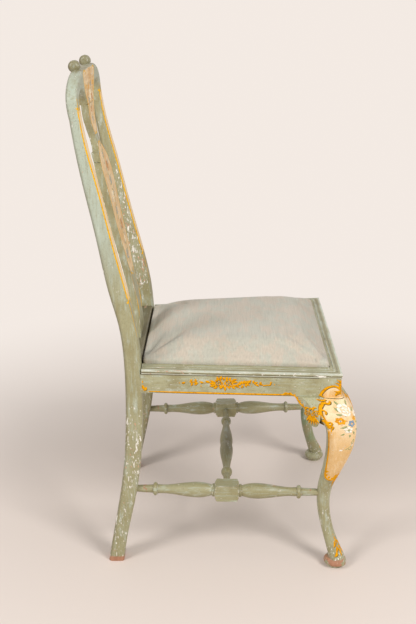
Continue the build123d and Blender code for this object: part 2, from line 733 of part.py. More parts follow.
with BuildPart() as seat_webbing_cross:
    with BuildSketch(Plane.XY.offset(slip_top + web_thickness)):
        for step in range(web_count):
            back = slip_front + slip_length * (step + 0.5) / web_count
            corners = [plan(slip_inset, back - web_width / 2), plan(slip_inset, back + web_width / 2)]
            Polygon(*corners, *mirrored(corners), align=None)
    extrude(amount=web_thickness)

with BuildPart() as seat_burlap:
    add(seat_outline(burlap_inset, slip_top + 2 * web_thickness))
    extrude(amount=burlap_thickness)

with BuildPart() as seat_stuffing:
    loft(crown(cover_thickness, cover_thickness), ruled=True)
    add(seat_outline(cover_thickness, stuffing_bottom))
    extrude(amount=crown_sections[0][0] - cover_thickness - stuffing_bottom)

with BuildPart() as seat_cover:
    loft(crown(0, 0), ruled=True)
    add(seat_outline(0, ledge_height))
    extrude(amount=crown_sections[0][0] - ledge_height)
    add(seat_stuffing.part, mode=Mode.SUBTRACT)
    add(seat_outline(cover_thickness, slip_bottom))
    extrude(amount=stuffing_bottom - slip_bottom, mode=Mode.SUBTRACT)
    add(seat_outline(hem_width, ledge_height))
    extrude(amount=cover_thickness, mode=Mode.SUBTRACT)
    add(seat_tacks.part, mode=Mode.SUBTRACT)

with BuildPart() as dust_cover:
    add(seat_outline(dust_cover_inset, tack_seat))
    extrude(amount=dust_cover_thickness)
    add(seat_tacks.part, mode=Mode.SUBTRACT)

# ---------------------------------------------------------------- finished pieces

for piece, name in ((front_leg_left, "front_leg"), (rear_post_left, "rear_post"),
                    (side_seat_rail_left, "side_seat_rail"), (seat_moulding_left, "seat_moulding"),
                    (side_stretcher_left, "side_stretcher"), (knee_bracket_side_left, "knee_bracket_side"),
                    (knee_bracket_front_left, "knee_bracket_front"),
                    (corner_block_front_left, "corner_block_front"),
                    (corner_block_rear_left, "corner_block_rear"), (slip_frame_left, "slip_frame_side")):
    with BuildPart() as right_piece:
        mirror(piece.part, about=Plane.YZ)
    save(piece.part, f"{name}_left")
    save(right_piece.part, f"{name}_right")

for piece, name in ((front_seat_rail, "front_seat_rail"), (rear_seat_rail, "rear_seat_rail"),
                    (seat_moulding_front, "seat_moulding_front"), (cross_stretcher, "cross_stretcher"),
                    (splat, "splat"), (splat_shoe, "splat_shoe"), (crest_rail, "crest_rail"),
                    (corner_block_screws, "corner_block_screws"), (slip_frame_front, "slip_frame_front"),
                    (slip_frame_rear, "slip_frame_rear"), (seat_webbing_long, "seat_webbing_long"),
                    (seat_webbing_cross, "seat_webbing_cross"), (seat_burlap, "seat_burlap"),
                    (seat_stuffing, "seat_stuffing"), (seat_cover, "seat_cover"),
                    (dust_cover, "dust_cover"), (seat_tacks, "seat_tacks")):
    save(piece.part, name)
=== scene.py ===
import math
import bmesh
import bpy
from mathutils import Matrix, Vector
from mathutils.bvhtree import BVHTree


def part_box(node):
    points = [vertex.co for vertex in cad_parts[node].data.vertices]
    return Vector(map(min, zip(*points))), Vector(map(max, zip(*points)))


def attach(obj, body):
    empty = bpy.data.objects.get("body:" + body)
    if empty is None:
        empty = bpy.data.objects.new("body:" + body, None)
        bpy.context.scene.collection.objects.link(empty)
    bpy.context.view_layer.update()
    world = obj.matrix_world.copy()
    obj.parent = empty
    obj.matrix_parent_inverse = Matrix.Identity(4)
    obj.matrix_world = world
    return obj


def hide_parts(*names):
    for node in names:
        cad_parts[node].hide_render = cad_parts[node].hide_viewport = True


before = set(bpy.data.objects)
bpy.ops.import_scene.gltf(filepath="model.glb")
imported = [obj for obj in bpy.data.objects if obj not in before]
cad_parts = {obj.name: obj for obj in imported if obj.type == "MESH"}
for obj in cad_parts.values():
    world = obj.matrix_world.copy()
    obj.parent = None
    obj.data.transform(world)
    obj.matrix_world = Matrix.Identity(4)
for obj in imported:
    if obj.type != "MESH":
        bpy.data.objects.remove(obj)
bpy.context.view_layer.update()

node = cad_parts
mm = 0.001
bpy.ops.object.select_all(action="DESELECT")

# ------------------------------------------------------------------ blocks and screws
# Pine corner blocks, sawn and left bare, brace the frame from inside. Each is held by two
# steel screws with dull round heads.


class Wire:
    """A shader socket that takes part in plain arithmetic."""

    def __init__(self, finish, socket):
        self.finish = finish
        self.socket = socket

    def math(self, operation, *others):
        """This value and others through a Math node."""
        return self.finish.add("ShaderNodeMath", {"operation": operation}, dict(enumerate((self, *others))))

    def most(self, other):
        """The greater of two values."""
        return self.math("MAXIMUM", other)

    def __add__(self, other):
        return self.math("ADD", other)

    def __sub__(self, other):
        return self.math("SUBTRACT", other)

    def __rsub__(self, other):
        return (self * -1) + other

    def __mul__(self, other):
        return self.math("MULTIPLY", other)

    __radd__ = __add__
    __rmul__ = __mul__


class Finish:
    """A material being mixed, and the one way to add a node to it."""

    def __init__(self, name, roughness):
        self.material = bpy.data.materials.new(name)
        self.material.use_nodes = True
        self.tree = self.material.node_tree
        self.shader = self.tree.nodes["Principled BSDF"]
        self.shader.inputs["Roughness"].default_value = roughness
        self.place = self.add("ShaderNodeTexCoord", {}, {}, "Object")
        self.facing = self.add("ShaderNodeTexCoord", {}, {}, "Normal")

    def add(self, kind, settings, sockets, output=0):
        """Adds a node, with its settings first and then the values or links of its sockets."""
        made = self.tree.nodes.new(kind)
        for setting, value in settings.items():
            if setting == "curve":
                self.draw_curve(made.mapping, value)
            else:
                setattr(made, setting, value)
        for key, value in sockets.items():
            if isinstance(value, Wire):
                self.tree.links.new(value.socket, made.inputs[key])
            else:
                made.inputs[key].default_value = value
        return Wire(self, made.outputs[output])

    def draw_curve(self, mapping, points):
        """Bends a curve node's line through its points."""
        line = mapping.curves[0]
        line.points[0].location = points[0]
        line.points[-1].location = points[-1]
        for x, y in points[1:-1]:
            line.points.new(x, y)
        mapping.update()

    def noise(self, scale, detail, stretch=(1, 1, 1), shift=0):
        """Cloudy noise from 0 to 1, with its features stretched along the wood."""
        spread = self.add("ShaderNodeMapping", {}, {"Vector": self.place, "Scale": stretch,
                                                    "Location": (shift, shift, shift)})
        return self.add("ShaderNodeTexNoise", {}, {"Vector": spread, "Scale": scale, "Detail": detail,
                                                   "Roughness": 0.6})

    def rise(self, value, low, high):
        """0 at low, 1 at high, smooth between."""
        return self.add("ShaderNodeMapRange", {"interpolation_type": "SMOOTHSTEP"},
                        {"Value": value, "From Min": low, "From Max": high})

    def mix(self, factor, first, second):
        """The first colour where the factor is 0, the second where it is 1."""
        return self.add("ShaderNodeMix", {"data_type": "RGBA"}, {0: factor, 6: first, 7: second}, 2)

    def over(self, colour, paint, value, low, high, strength=1):
        """A colour with another over it, which comes in as a value goes from low to high."""
        return self.mix(self.rise(value, low, high) * strength, colour, paint)

    def axis(self, vector, letter):
        """One coordinate of a vector."""
        return self.add("ShaderNodeSeparateXYZ", {}, {0: vector}, letter)

    def past(self, letter, low, high):
        """0 at one coordinate, in millimetres, and 1 at the other, smooth between."""
        return self.rise(self.axis(self.place, letter), low * mm, high * mm)

    def wire(self, socket, value):
        """Links a value to a socket of the shader."""
        self.tree.links.new(value.socket, self.shader.inputs[socket])

    def bump(self, height, distance, strength=1.0):
        """Makes the surface look raised where a value is high."""
        self.wire("Normal", self.add("ShaderNodeBump", {}, {"Height": height, "Distance": distance,
                                                            "Strength": strength}))


def give(finish, *names):
    """Gives CAD nodes their finish."""
    for name in names:
        node[name].data.materials.clear()
        node[name].data.materials.append(finish.material)


along_x, along_y, along_z = (0.08, 1, 1), (1, 0.08, 1), (1, 1, 0.08)


def bare_wood(name, light, dark, grain):
    """Sawn wood with its grain along one axis."""
    finish = Finish(name, 0.7)
    fibre = finish.noise(180, 4, grain)
    colour = finish.over(dark, light, finish.noise(30, 3, grain, shift=2), 0.3, 0.7)
    finish.wire("Base Color", finish.over(colour, dark, fibre, 0.45, 0.75, 0.5))
    finish.bump(fibre, 0.3 * mm)
    return finish


give(bare_wood("pine", (0.52, 0.34, 0.17, 1), (0.33, 0.19, 0.085, 1), along_z),
     "corner_block_front_left", "corner_block_front_right", "corner_block_rear_left", "corner_block_rear_right")


rust_brown = (0.20, 0.10, 0.05, 1)


def old_steel(name, clean, scale):
    """Dull steel with rust breaking through."""
    finish = Finish(name, 0.45)
    rust = finish.rise(finish.noise(scale, 4), 0.5, 0.7)
    finish.wire("Base Color", finish.mix(rust, clean, rust_brown))
    finish.wire("Metallic", 1 - rust * 0.8)
    finish.wire("Roughness", rust * 0.4 + 0.4)
    return finish


give(old_steel("screw_steel", (0.33, 0.32, 0.30, 1), 260), "corner_block_screws")

# ------------------------------------------------------------------ rails and stretchers
# The frame is beech, filled with white ground and painted sage green. The old paint has gone
# olive in places, shows the brush, and has chipped to the ground. On the moulding round the
# seat and on the rings of the stretchers it is rubbed through to pinkish wood.

sage = (0.42, 0.405, 0.245, 1)
mist = (0.46, 0.515, 0.42, 1)
olive = (0.31, 0.275, 0.14, 1)
unfaded_and_shaded_green = (0.13, 0.25, 0.11, 1)
white_ground = (0.86, 0.82, 0.73, 1)
rubbed_wood = (0.66, 0.36, 0.22, 1)
bare_light, bare_dark = (0.58, 0.30, 0.18, 1), (0.26, 0.10, 0.05, 1)
grime_and_shade = (0.10, 0.08, 0.04, 1)
pale_paint_and_highlight = (0.66, 0.71, 0.62, 1)
cream = (0.77, 0.47, 0.17, 1)
pale_cream = (0.93, 0.73, 0.46, 1)
crack_brown = (0.30, 0.16, 0.07, 1)


def nothing(finish):
    """A mask that is empty."""
    return finish.axis(finish.place, "Z") * 0


def old_paint(name, along, panel=nothing, bare=nothing, joints=nothing, dirt_and_shade=nothing, scuffs=nothing,
              unfaded_and_shaded=nothing, lit_and_bleached=nothing, painted_highlight=nothing, rubbing=1.0, age=0.0):
    """Sage paint. Each mask is a function of the finish, and says in turn where cream replaces
    the green, where the wood shows, where an edge can't be rubbed, where grime and painted shade
    darken it, where more has chipped, where it is a deeper green of unfaded paint and painted
    shade, where faded paint and painted highlight make it paler and bluer, and where a pale
    painted highlight lies over it."""
    finish = Finish(name, 0.4)
    mix, over, rise, noise = finish.mix, finish.over, finish.rise, finish.noise

    def drawn_out(share):
        """A stretch along the grain, from none at 0 to the whole at 1."""
        return tuple(value ** share for value in along)

    tone = noise(16, 4)
    dapple = noise(85, 4, drawn_out(0.5), shift=13)
    streak = noise(230, 3, along)
    speck = noise(560, 2, shift=4)
    green = mix(rise(tone, 0.32, 0.60) * (1 - age), olive, sage)
    # Darker olive towards the floor.
    green = mix(finish.past("Z", 400, 20) * 0.35, green, olive)
    # Paler and bluer: faded paint together with painted highlight.
    green = mix(lit_and_bleached(finish) * 0.9, green, mist)
    # A deeper green: paint that has kept its colour, and painted shade.
    green = mix(unfaded_and_shaded(finish) * rise(tone, 0.35, 0.48), green, unfaded_and_shaded_green)
    green = over(green, mist, dapple, 0.50, 0.72, 0.5)
    green = over(green, olive, dapple, 0.48, 0.28, 0.5)
    green = over(green, mist, streak, 0.50, 0.75, 0.5)
    green = over(green, olive, streak, 0.48, 0.28, 0.5)
    green = over(green, pale_paint_and_highlight, dapple, 0.56, 0.74, 0.35)
    green = over(green, grime_and_shade, speck, 0.56, 0.70, 0.55)
    # A pale painted highlight over the green.
    green = mix(painted_highlight(finish) * rise(dapple, 0.25, 0.55), green, pale_paint_and_highlight)

    crackle = finish.add("ShaderNodeTexVoronoi", {"feature": "DISTANCE_TO_EDGE"},
                         {"Vector": finish.place, "Scale": 210})
    above_seat = finish.past("Z", 500, 560)
    on_splat = rise(finish.axis(finish.place, "X").math("ABSOLUTE"), 160 * mm, 140 * mm)
    light = over(pale_cream, cream, noise(26, 3, shift=6), 0.35, 0.65)
    light = mix(finish.past("Z", 370, 280) * 0.8, light, cream)
    light = mix(above_seat * (1 - on_splat) * 0.8, light, pale_cream)
    light = over(light, pale_cream, streak, 0.5, 0.3, 0.5)
    light = mix(above_seat * on_splat * rise(streak, 0.42, 0.72) * 0.42, light, crack_brown)
    light = over(light, crack_brown, crackle, 0.06, 0, 0.2)
    light = over(light, crack_brown, speck, 0.62, 0.75, 0.3)

    colour = mix(panel(finish), green, light)
    # Darker: grime, and painted shade in recesses, under the bead and on faces that look backwards.
    darkening = dirt_and_shade(finish) * rise(noise(90, 4, along, shift=11), 0.15, 0.45)
    colour = mix(darkening * 0.85, colour, grime_and_shade)
    wear = rise(noise(9, 3, shift=5), 0.42, 0.62) * 0.4 + scuffs(finish)
    flecks = rise(noise(300, 3, drawn_out(0.4), shift=12) + wear * 0.11, 0.70, 0.74)
    scratches = rise(noise(150, 6, drawn_out(0.7), shift=1) + wear * 0.07, 0.69, 0.71)
    edge = finish.add("ShaderNodeBevel", {"samples": 4}, {"Radius": 2.2 * mm})
    turn = finish.add("ShaderNodeVectorMath", {"operation": "DOT_PRODUCT"},
                      {0: edge, 1: finish.facing}, "Value")
    patchy = noise(170, 6, drawn_out(0.6), shift=8)
    rubbed = rise(turn, 0.99, 0.93) * rise(patchy, 0.66 - 0.14 * rubbing, 0.70 - 0.12 * rubbing)
    worn = flecks.most(scratches).most(rubbed * (1 - joints(finish)))
    colour = mix(worn, colour, over(white_ground, rubbed_wood, noise(30, 3, shift=9), 0.58, 0.62))
    stripped = bare(finish)
    colour = mix(stripped, colour, mix(noise(160, 4, along, shift=3), bare_dark, bare_light))
    worn = worn.most(stripped)
    finish.wire("Base Color", colour)
    finish.wire("Roughness", 0.32 + 0.3 * worn + 0.15 * streak)
    finish.bump(streak * 0.6 + speck * 0.4 - worn * 2, 0.18 * mm)
    return finish


def near(finish, value, target, reach):
    """1 within a reach of a value, 0 past it."""
    return finish.rise((value - target).math("ABSOLUTE"), reach, reach * 0.7)


def all_over(finish):
    """A mask that is full, for a piece with no edge of its own."""
    return nothing(finish) + 1


def shade_under_bead(finish):
    """Painted shade along the top of a rail, under the moulding's bead."""
    return finish.past("Z", 434, 436)


give(old_paint("paint_side_rails", along_y, joints=all_over, dirt_and_shade=shade_under_bead),
     "side_seat_rail_left", "side_seat_rail_right")
give(old_paint("paint_cross_rails", along_x, joints=all_over, dirt_and_shade=shade_under_bead),
     "front_seat_rail", "rear_seat_rail", "splat_shoe")

rim_x, rim_y, rim_width = 252.7 * mm, -257 * mm, 38.5 * mm
front_half, rear_half, side_run = 0.2505, 0.213, 0.412
splay = (front_half - rear_half) / side_run
groove_inset = 9 * mm


def from_rim(finish):
    """How far inside the moulding's outer edge a point is."""
    x, y = (finish.axis(finish.place, letter) for letter in "XY")
    return ((y - rim_y) * -splay + rim_x - x.math("ABSOLUTE")).math("MINIMUM", y - rim_y)


def rim_bead(finish):
    """The outer edge of the bead, rubbed by hands and knees."""
    return finish.rise(from_rim(finish), 4 * mm, 2 * mm) * 0.5


def rim_highlights(finish):
    """Painted highlights on the bead's top and foot, and two pale lines of painted highlight on the flat behind
    it.
    """
    inset = from_rim(finish)
    top = finish.past("Z", 443, 444) * finish.rise(inset, 4.4 * mm, 3 * mm)
    foot = finish.past("Z", 439.6, 439) * finish.rise(inset, 4 * mm, 3 * mm)
    lines = near(finish, inset, 15 * mm, 1.6 * mm).most(near(finish, inset, 25 * mm, 1.3 * mm) * 0.6)
    return (top * 0.75).most(foot).most(lines * 0.8)


def rim_shade(finish):
    """Painted shade in the line under the bead, in the groove, and in the corner where the seat drops in."""
    inset, z = from_rim(finish), finish.axis(finish.place, "Z")
    quirk = near(finish, z, 441 * mm, 1.1 * mm) * finish.rise(inset, 4 * mm, 3 * mm)
    groove = near(finish, inset, groove_inset, 2.2 * mm) * 0.55
    corner = finish.rise(inset, rim_width - 5 * mm, rim_width) * 0.5
    return quirk.most(groove).most(corner)


give(old_paint("paint_rim_sides", along_y, dirt_and_shade=rim_shade, scuffs=rim_bead, painted_highlight=rim_highlights, age=0.2),
     "seat_moulding_left", "seat_moulding_right")
give(old_paint("paint_rim_front", along_x, dirt_and_shade=rim_shade, scuffs=rim_bead, painted_highlight=rim_highlights, age=0.2),
     "seat_moulding_front")

ring_ys = (-196 * mm, 157 * mm)


def worn_rings(finish):
    """The rings of the side stretchers, where shoe heels have rubbed them."""
    y = finish.axis(finish.place, "Y")
    rings = near(finish, y, ring_ys[0], 5 * mm).most(near(finish, y, ring_ys[1], 5 * mm))
    return rings * finish.rise(finish.noise(60, 4, shift=7), 0.52, 0.58)


give(old_paint("paint_side_stretchers", along_y, bare=worn_rings, age=0.5),
     "side_stretcher_left", "side_stretcher_right")


def darker_all_over(finish):
    """A darker brown-grey all over the stretcher that feet rest on."""
    return all_over(finish) * 0.22


give(old_paint("paint_cross_stretcher", along_x, dirt_and_shade=darker_all_over, age=0.9), "cross_stretcher")

# ------------------------------------------------------------------ back
# Two raked posts, a vase-shaped splat and a crest rail with two open arches. Their fronts
# carry cream panels: a strip down each post, and a panel on the crest and splat that is
# pinched to nothing above the splat's knobs. The tips of the rear legs are worn to the wood.

panel_widths = [(600, 0), (606, 26), (625, 35), (690, 48), (725, 53), (755, 55), (785, 61), (835, 63),
                (856, 51), (873, 30), (884, 12), (888, 0), (902, 0), (908, 17), (925, 30), (950, 38),
                (975, 45), (1000, 70), (1020, 80), (1034, 84), (1040, 0)]
panel_scale = 100
post_outer, post_lean, post_width = 230 * mm, 0.04, 34 * mm
strip_edge = 5 * mm
strip_low, strip_high = 590, 974
post_joint_z, splat_joint_z = 955, 969


def half_width(finish, widths, height):
    """Half the width of a panel at each height, from its list in millimetres."""
    low, high = widths[0][0], widths[-1][0]
    level = finish.add("ShaderNodeMapRange", {}, {"Value": height, "From Min": low * mm, "From Max": high * mm})
    curve = [((z - low) / (high - low), half / panel_scale) for z, half in widths]
    return finish.add("ShaderNodeFloatCurve", {"curve": curve}, {"Value": level}) * panel_scale * mm


def back_panels(finish):
    """Cream on the front of the posts, the splat and the crest."""
    x, z = (finish.axis(finish.place, letter) for letter in "XZ")
    width = x.math("ABSOLUTE")
    middle = finish.rise(half_width(finish, panel_widths, z) - width, 0, 1 * mm)
    from_outer = post_outer - width - z * post_lean
    strip = finish.rise(from_outer, strip_edge, strip_edge + 1 * mm)
    strip = strip * finish.rise(from_outer, post_width - strip_edge, post_width - strip_edge - 1 * mm)
    strip = strip * finish.past("Z", strip_low, strip_low + 4) * finish.past("Z", strip_high, strip_high - 4)
    front = finish.rise(finish.axis(finish.facing, "Y"), -0.35, -0.6)
    return front * middle.most(strip)


def back_joints(finish):
    """Where the posts and the splat are let into the crest rail."""
    z = finish.axis(finish.place, "Z")
    return near(finish, z, post_joint_z * mm, 5 * mm).most(near(finish, z, splat_joint_z * mm, 5 * mm))


def painted_shade_behind(finish):
    """Painted shade on the faces that look backwards."""
    return finish.rise(finish.axis(finish.facing, "Y"), 0.15, 0.8) * 0.45


def sideways(finish):
    """How far a face looks away from the middle of the chair, from -1 to 1."""
    side = finish.axis(finish.place, "X").math("SIGN")
    return finish.axis(finish.facing, "X") * side


def post_scuffs(finish):
    """The inner side of each post, and its leg, where the paint is most chipped."""
    inner = finish.rise(sideways(finish), -0.5, -0.9)
    side = inner * finish.past("Z", 450, 520) * finish.past("Z", 860, 700) * 1.1
    return side.most(finish.past("Z", 400, 330) * 0.8)


def post_highlight_and_bleaching(finish):
    """The outer sides of the posts, above the seat, and the crest below its knobs, paler and bluer as faded
    paint and as painted highlight.
    """
    outer = finish.rise(sideways(finish), 0.2, 0.7) * finish.past("Z", 560, 760)
    outer = outer * finish.rise(finish.axis(finish.place, "X").math("ABSOLUTE"), 140 * mm, 160 * mm)
    return outer.most(finish.past("Z", 975, 1010) * finish.past("Z", 1042, 1036) * 0.8)


def crest_shade_and_dark_knobs(finish):
    """Painted shade on the faces that look backwards, and a darker colour on the two knobs that stand above the
    crest.
    """
    return painted_shade_behind(finish) + finish.past("Z", 1036, 1042) * 0.4


def worn_heels(finish):
    """The tips of the rear legs, scraped to the wood up to a ragged line."""
    ragged = finish.axis(finish.place, "Z") + finish.noise(120, 3) * 8 * mm
    return finish.rise(ragged, 17 * mm, 14 * mm)


give(old_paint("paint_back", along_z, back_panels, worn_heels, back_joints, painted_shade_behind, post_scuffs,
               lit_and_bleached=post_highlight_and_bleaching, rubbing=0.9, age=0.4), "rear_post_left", "rear_post_right", "splat")
give(old_paint("paint_crest", along_x, back_panels, nothing, back_joints, crest_shade_and_dark_knobs, lit_and_bleached=post_highlight_and_bleaching,
               rubbing=0.9, age=0.3), "crest_rail")

# ------------------------------------------------------------------ front legs and brackets
# Cabriole legs with pad feet, and shaped brackets glued beside their knees. A cream panel
# wraps each knee, from an arch on the leg's block to a point on the shin. The insides of the
# legs are a deeper green, painted shade together with paint that has kept its colour, and
# the right foot is worn through to reddish wood.

corner_sum = 4.5 * mm
knee_widths = [(200, 0), (203, 8), (207, 15), (213, 18.5), (218, 30), (230, 45), (328, 45), (340, 39),
               (348, 41), (355, 44), (364, 46), (375, 45), (384, 40), (390, 35), (393, 29), (397, 27),
               (408, 23), (414, 19), (418, 13), (421, 0)]


def leg_outward(finish):
    """How far a face looks away from the seat, to the side and to the front."""
    return sideways(finish) - finish.axis(finish.facing, "Y")


def knee_panel(finish):
    """Cream on the outer side of the leg, the same to either side of its corner."""
    x, y, z = (finish.axis(finish.place, letter) for letter in "XYZ")
    from_corner = (x.math("ABSOLUTE") + y + corner_sum).math("ABSOLUTE") * math.sqrt(0.5)
    inside = finish.rise(half_width(finish, knee_widths, z) - from_corner, 0, 1 * mm)
    turned_in = leg_outward(finish) - finish.past("Z", 275, 215) * 0.4
    return inside * finish.rise(turned_in, -0.38, -0.28)


def inner_leg_deep_green_and_shade(finish):
    """The inside of each leg, out of the light, painted a deeper green as shade and as paint that has kept its
    colour.
    """
    return finish.rise(sideways(finish), 0.0, -0.5) * finish.past("Z", 15, 110) * 0.75


def worn_toes(finish):
    """The edge of the right foot's pad, kicked down to the wood."""
    patch = finish.rise(finish.noise(38, 5, shift=2), 0.46, 0.50) * finish.past("X", 0, -100)
    return finish.past("Z", 24, 19) * finish.past("Z", 5, 8) * patch


def leg_joints(finish):
    """The block's edges, which meet the rails, the brackets and the moulding."""
    return finish.past("Z", 325, 335)


def shin_scuffs(finish):
    """The shins, and most of all the right foot."""
    right_foot = finish.past("Z", 60, 30) * finish.past("X", 0, -100)
    return finish.past("Z", 190, 110) * 0.35 + right_foot * 0.6


give(old_paint("paint_legs", along_z, knee_panel, worn_toes, leg_joints, nothing, shin_scuffs, inner_leg_deep_green_and_shade),
     "front_leg_left", "front_leg_right")
give(old_paint("paint_brackets", along_z, knee_panel, joints=all_over),
     "knee_bracket_side_left", "knee_bracket_side_right", "knee_bracket_front_left", "knee_bracket_front_right")

# ------------------------------------------------------------------ gilding on the rails
# Raised gilt flowers and leaves, brushed on thick, run along the middle of the side and front
# rails. A gilt line follows each rail's bottom edge and dips with the brackets, where it ends
# in a fan-ribbed shell.

stand_off = 0.3


def choose(piece):
    """Makes a piece the only one selected."""
    bpy.ops.object.select_all(action="DESELECT")
    piece.select_set(True)
    bpy.context.view_layer.objects.active = piece


def around(count, turn):
    """Angles spread evenly round a circle."""
    return [math.radians(turn + 360 / count * step) for step in range(count)]


class Brushwork:
    """Strokes drawn flat, in millimetres, and then laid on the wood as one piece."""

    def __init__(self, name, *finishes):
        self.line = bpy.data.curves.new(name, "CURVE")
        self.line.dimensions = "3D"
        self.line.twist_mode = "Z_UP"
        self.line.bevel_depth = 1
        self.line.bevel_resolution = 1
        self.line.resolution_u = 4
        self.line.use_fill_caps = True
        for finish in finishes:
            self.line.materials.append(finish.material)
        self.colour = 0
        self.outline = None

    def stroke(self, points, *widths):
        """One stroke along its points, over a wider and deeper one in the outline colour."""
        if self.outline is not None:
            shadow = [(u + 0.5, v - 0.8) for u, v in points]
            self.draw(shadow, [width * 1.15 for width in widths], self.outline, 0.4)
        self.draw(points, widths, self.colour, 0)

    def draw(self, points, widths, colour, sunk):
        """A line along its points, as wide as the widths spread evenly over it, and sunk into
        the wood by a share of its radius."""
        spline = self.line.splines.new("NURBS")
        spline.points.add(len(points) - 1)
        for step, (point, (u, v)) in enumerate(zip(spline.points, points)):
            where = step / (len(points) - 1) * (len(widths) - 1)
            below = min(int(where), max(len(widths) - 2, 0))
            above = min(below + 1, len(widths) - 1)
            point.radius = (widths[below] + (widths[above] - widths[below]) * (where - below)) / 2
            point.co = (u, v, -point.radius * sunk, 1)
        spline.order_u = 3
        spline.use_endpoint_u = True
        spline.material_index = colour

    def leaf(self, start, end, width, curl=0.0):
        """A tapered stroke that swells and ends in a point."""
        (u, v), (du, dv) = start, (end[0] - start[0], end[1] - start[1])
        points = [(u + du * t - dv * curl * bow, v + dv * t + du * curl * bow)
                  for t, bow in ((0, 0), (0.3, 0.8), (0.65, 1), (1, 0))]
        self.stroke(points, width * 0.35, width, width * 0.9, width * 0.15)

    def dot(self, u, v, size):
        """A touch of the brush, as wide as it is long."""
        self.stroke([(u - size * 0.15, v), (u, v), (u + size * 0.15, v)], size * 0.7, size, size * 0.7)

    def flower(self, u, v, size, petals, turn, middle=None):
        """Petals round a centre that may have a colour of its own."""
        for angle in around(petals, turn):
            du, dv = size * math.cos(angle), size * math.sin(angle)
            self.leaf((u + du * 0.25, v + dv * 0.25), (u + du, v + dv), size * 0.85)
        petal_colour = self.colour
        self.colour = self.colour if middle is None else middle
        self.dot(u, v, size * 0.6)
        self.colour = petal_colour

    def rose(self, u, v, size):
        """Two rings of curved strokes round a bud, parted by thin arcs of the outline colour."""
        rings = [(0.88, 6, 0, 0.60, 0.5, self.colour, 0), (0.40, 4, 30, 0.50, 0.5, self.colour, 0)]
        if self.outline is not None:
            rings += [(0.64, 3, 15, 0.15, 0.85, self.outline, -3.2),
                      (0.20, 2, 60, 0.13, 1.1, self.outline, -3.2),
                      (0.05, 1, 0, 0.40, 0.5, self.colour, 0)]
        for reach, count, turn, thick, sweep, colour, sunk in rings:
            for angle in around(count, turn):
                arc = [(u + size * reach * math.cos(angle + lead * sweep),
                        v + size * reach * math.sin(angle + lead * sweep)) for lead in (-0.9, -0.3, 0.3, 0.9)]
                self.draw(arc, (size * thick * 0.5, size * thick, size * thick * 0.6), colour, sunk)

    def lay(self, wood, origin, across, relief=0.32):
        """Presses the strokes onto the wood, square to the upright plane they are drawn in.
        A stroke that hangs past the wood's edge folds round it."""
        piece = bpy.data.objects.new(self.line.name, self.line)
        bpy.context.collection.objects.link(piece)
        choose(piece)
        bpy.ops.object.convert(target="MESH")
        piece = bpy.context.object
        corners, faces = [], []
        for name in wood:
            faces += [[len(corners) + corner for corner in face.vertices] for face in node[name].data.polygons]
            corners += [node[name].matrix_world @ point.co for point in node[name].data.vertices]
        surface = BVHTree.FromPolygons(corners, faces)
        up = Vector((0, 0, 1))
        outward = across.cross(up)
        reach = stand_off
        for point in piece.data.vertices:
            before = origin + (across * point.co.x + up * point.co.y) * mm + outward * stand_off
            spot, normal, _, distance = surface.ray_cast(before, -outward)
            if spot is None:
                spot, normal, *_ = surface.find_nearest(before - outward * reach)
            else:
                reach = distance
            point.co = spot + normal * point.co.z * relief * mm
        bpy.ops.object.shade_smooth()
        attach(piece, "frame")
        return piece


def other_hand(piece):
    """Makes a mirrored copy of a right-hand piece, for the left side of the chair."""
    choose(piece)
    bpy.ops.object.duplicate()
    copy = bpy.context.object
    copy.name = piece.name.replace("right", "left")
    copy.data.name = copy.name
    bpy.ops.transform.resize(value=(-1, 1, 1), center_override=(0, 0, 0))
    bpy.ops.object.transform_apply(location=True, rotation=True, scale=True)
    bpy.ops.object.mode_set(mode="EDIT")
    bpy.ops.mesh.select_all(action="SELECT")
    bpy.ops.mesh.remove_doubles(threshold=1e-7)
    bpy.ops.mesh.normals_make_consistent(inside=False)
    bpy.ops.object.mode_set(mode="OBJECT")
    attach(copy, "frame")


def brushed(name, colour, shade):
    """A thick stroke colour that thins to a darker shade."""
    finish = Finish(name, 0.45)
    finish.wire("Base Color", finish.over(colour, shade, finish.noise(230, 4), 0.46, 0.68))
    finish.bump(finish.noise(480, 3), 0.25 * mm)
    finish.shader.inputs["Specular IOR Level"].default_value = 0.08
    return finish


gold = brushed("gold_paint", (0.80, 0.36, 0.001, 1), (0.52, 0.20, 0.001, 1))
umber = brushed("umber_shading", (0.13, 0.08, 0.02, 1), (0.22, 0.17, 0.06, 1))
white_flower = brushed("white_flower", (0.90, 0.86, 0.76, 1), (0.86, 0.72, 0.50, 1))
amber_flower = brushed("amber_flower", (0.86, 0.42, 0.02, 1), (0.62, 0.17, 0.02, 1))
blue_flower = brushed("blue_flower", (0.27, 0.37, 0.48, 1), (0.17, 0.22, 0.32, 1))
leaf_green = brushed("leaf_green", (0.33, 0.36, 0.16, 1), (0.56, 0.52, 0.26, 1))
rust_red = brushed("rust_red", (0.45, 0.12, 0.05, 1), (0.60, 0.30, 0.12, 1))
gold_stroke, umber_stroke, white_stroke, amber_stroke, blue_stroke, green_stroke, rust_stroke = range(7)
colours = (gold, umber, white_flower, amber_flower, blue_flower, leaf_green, rust_red)


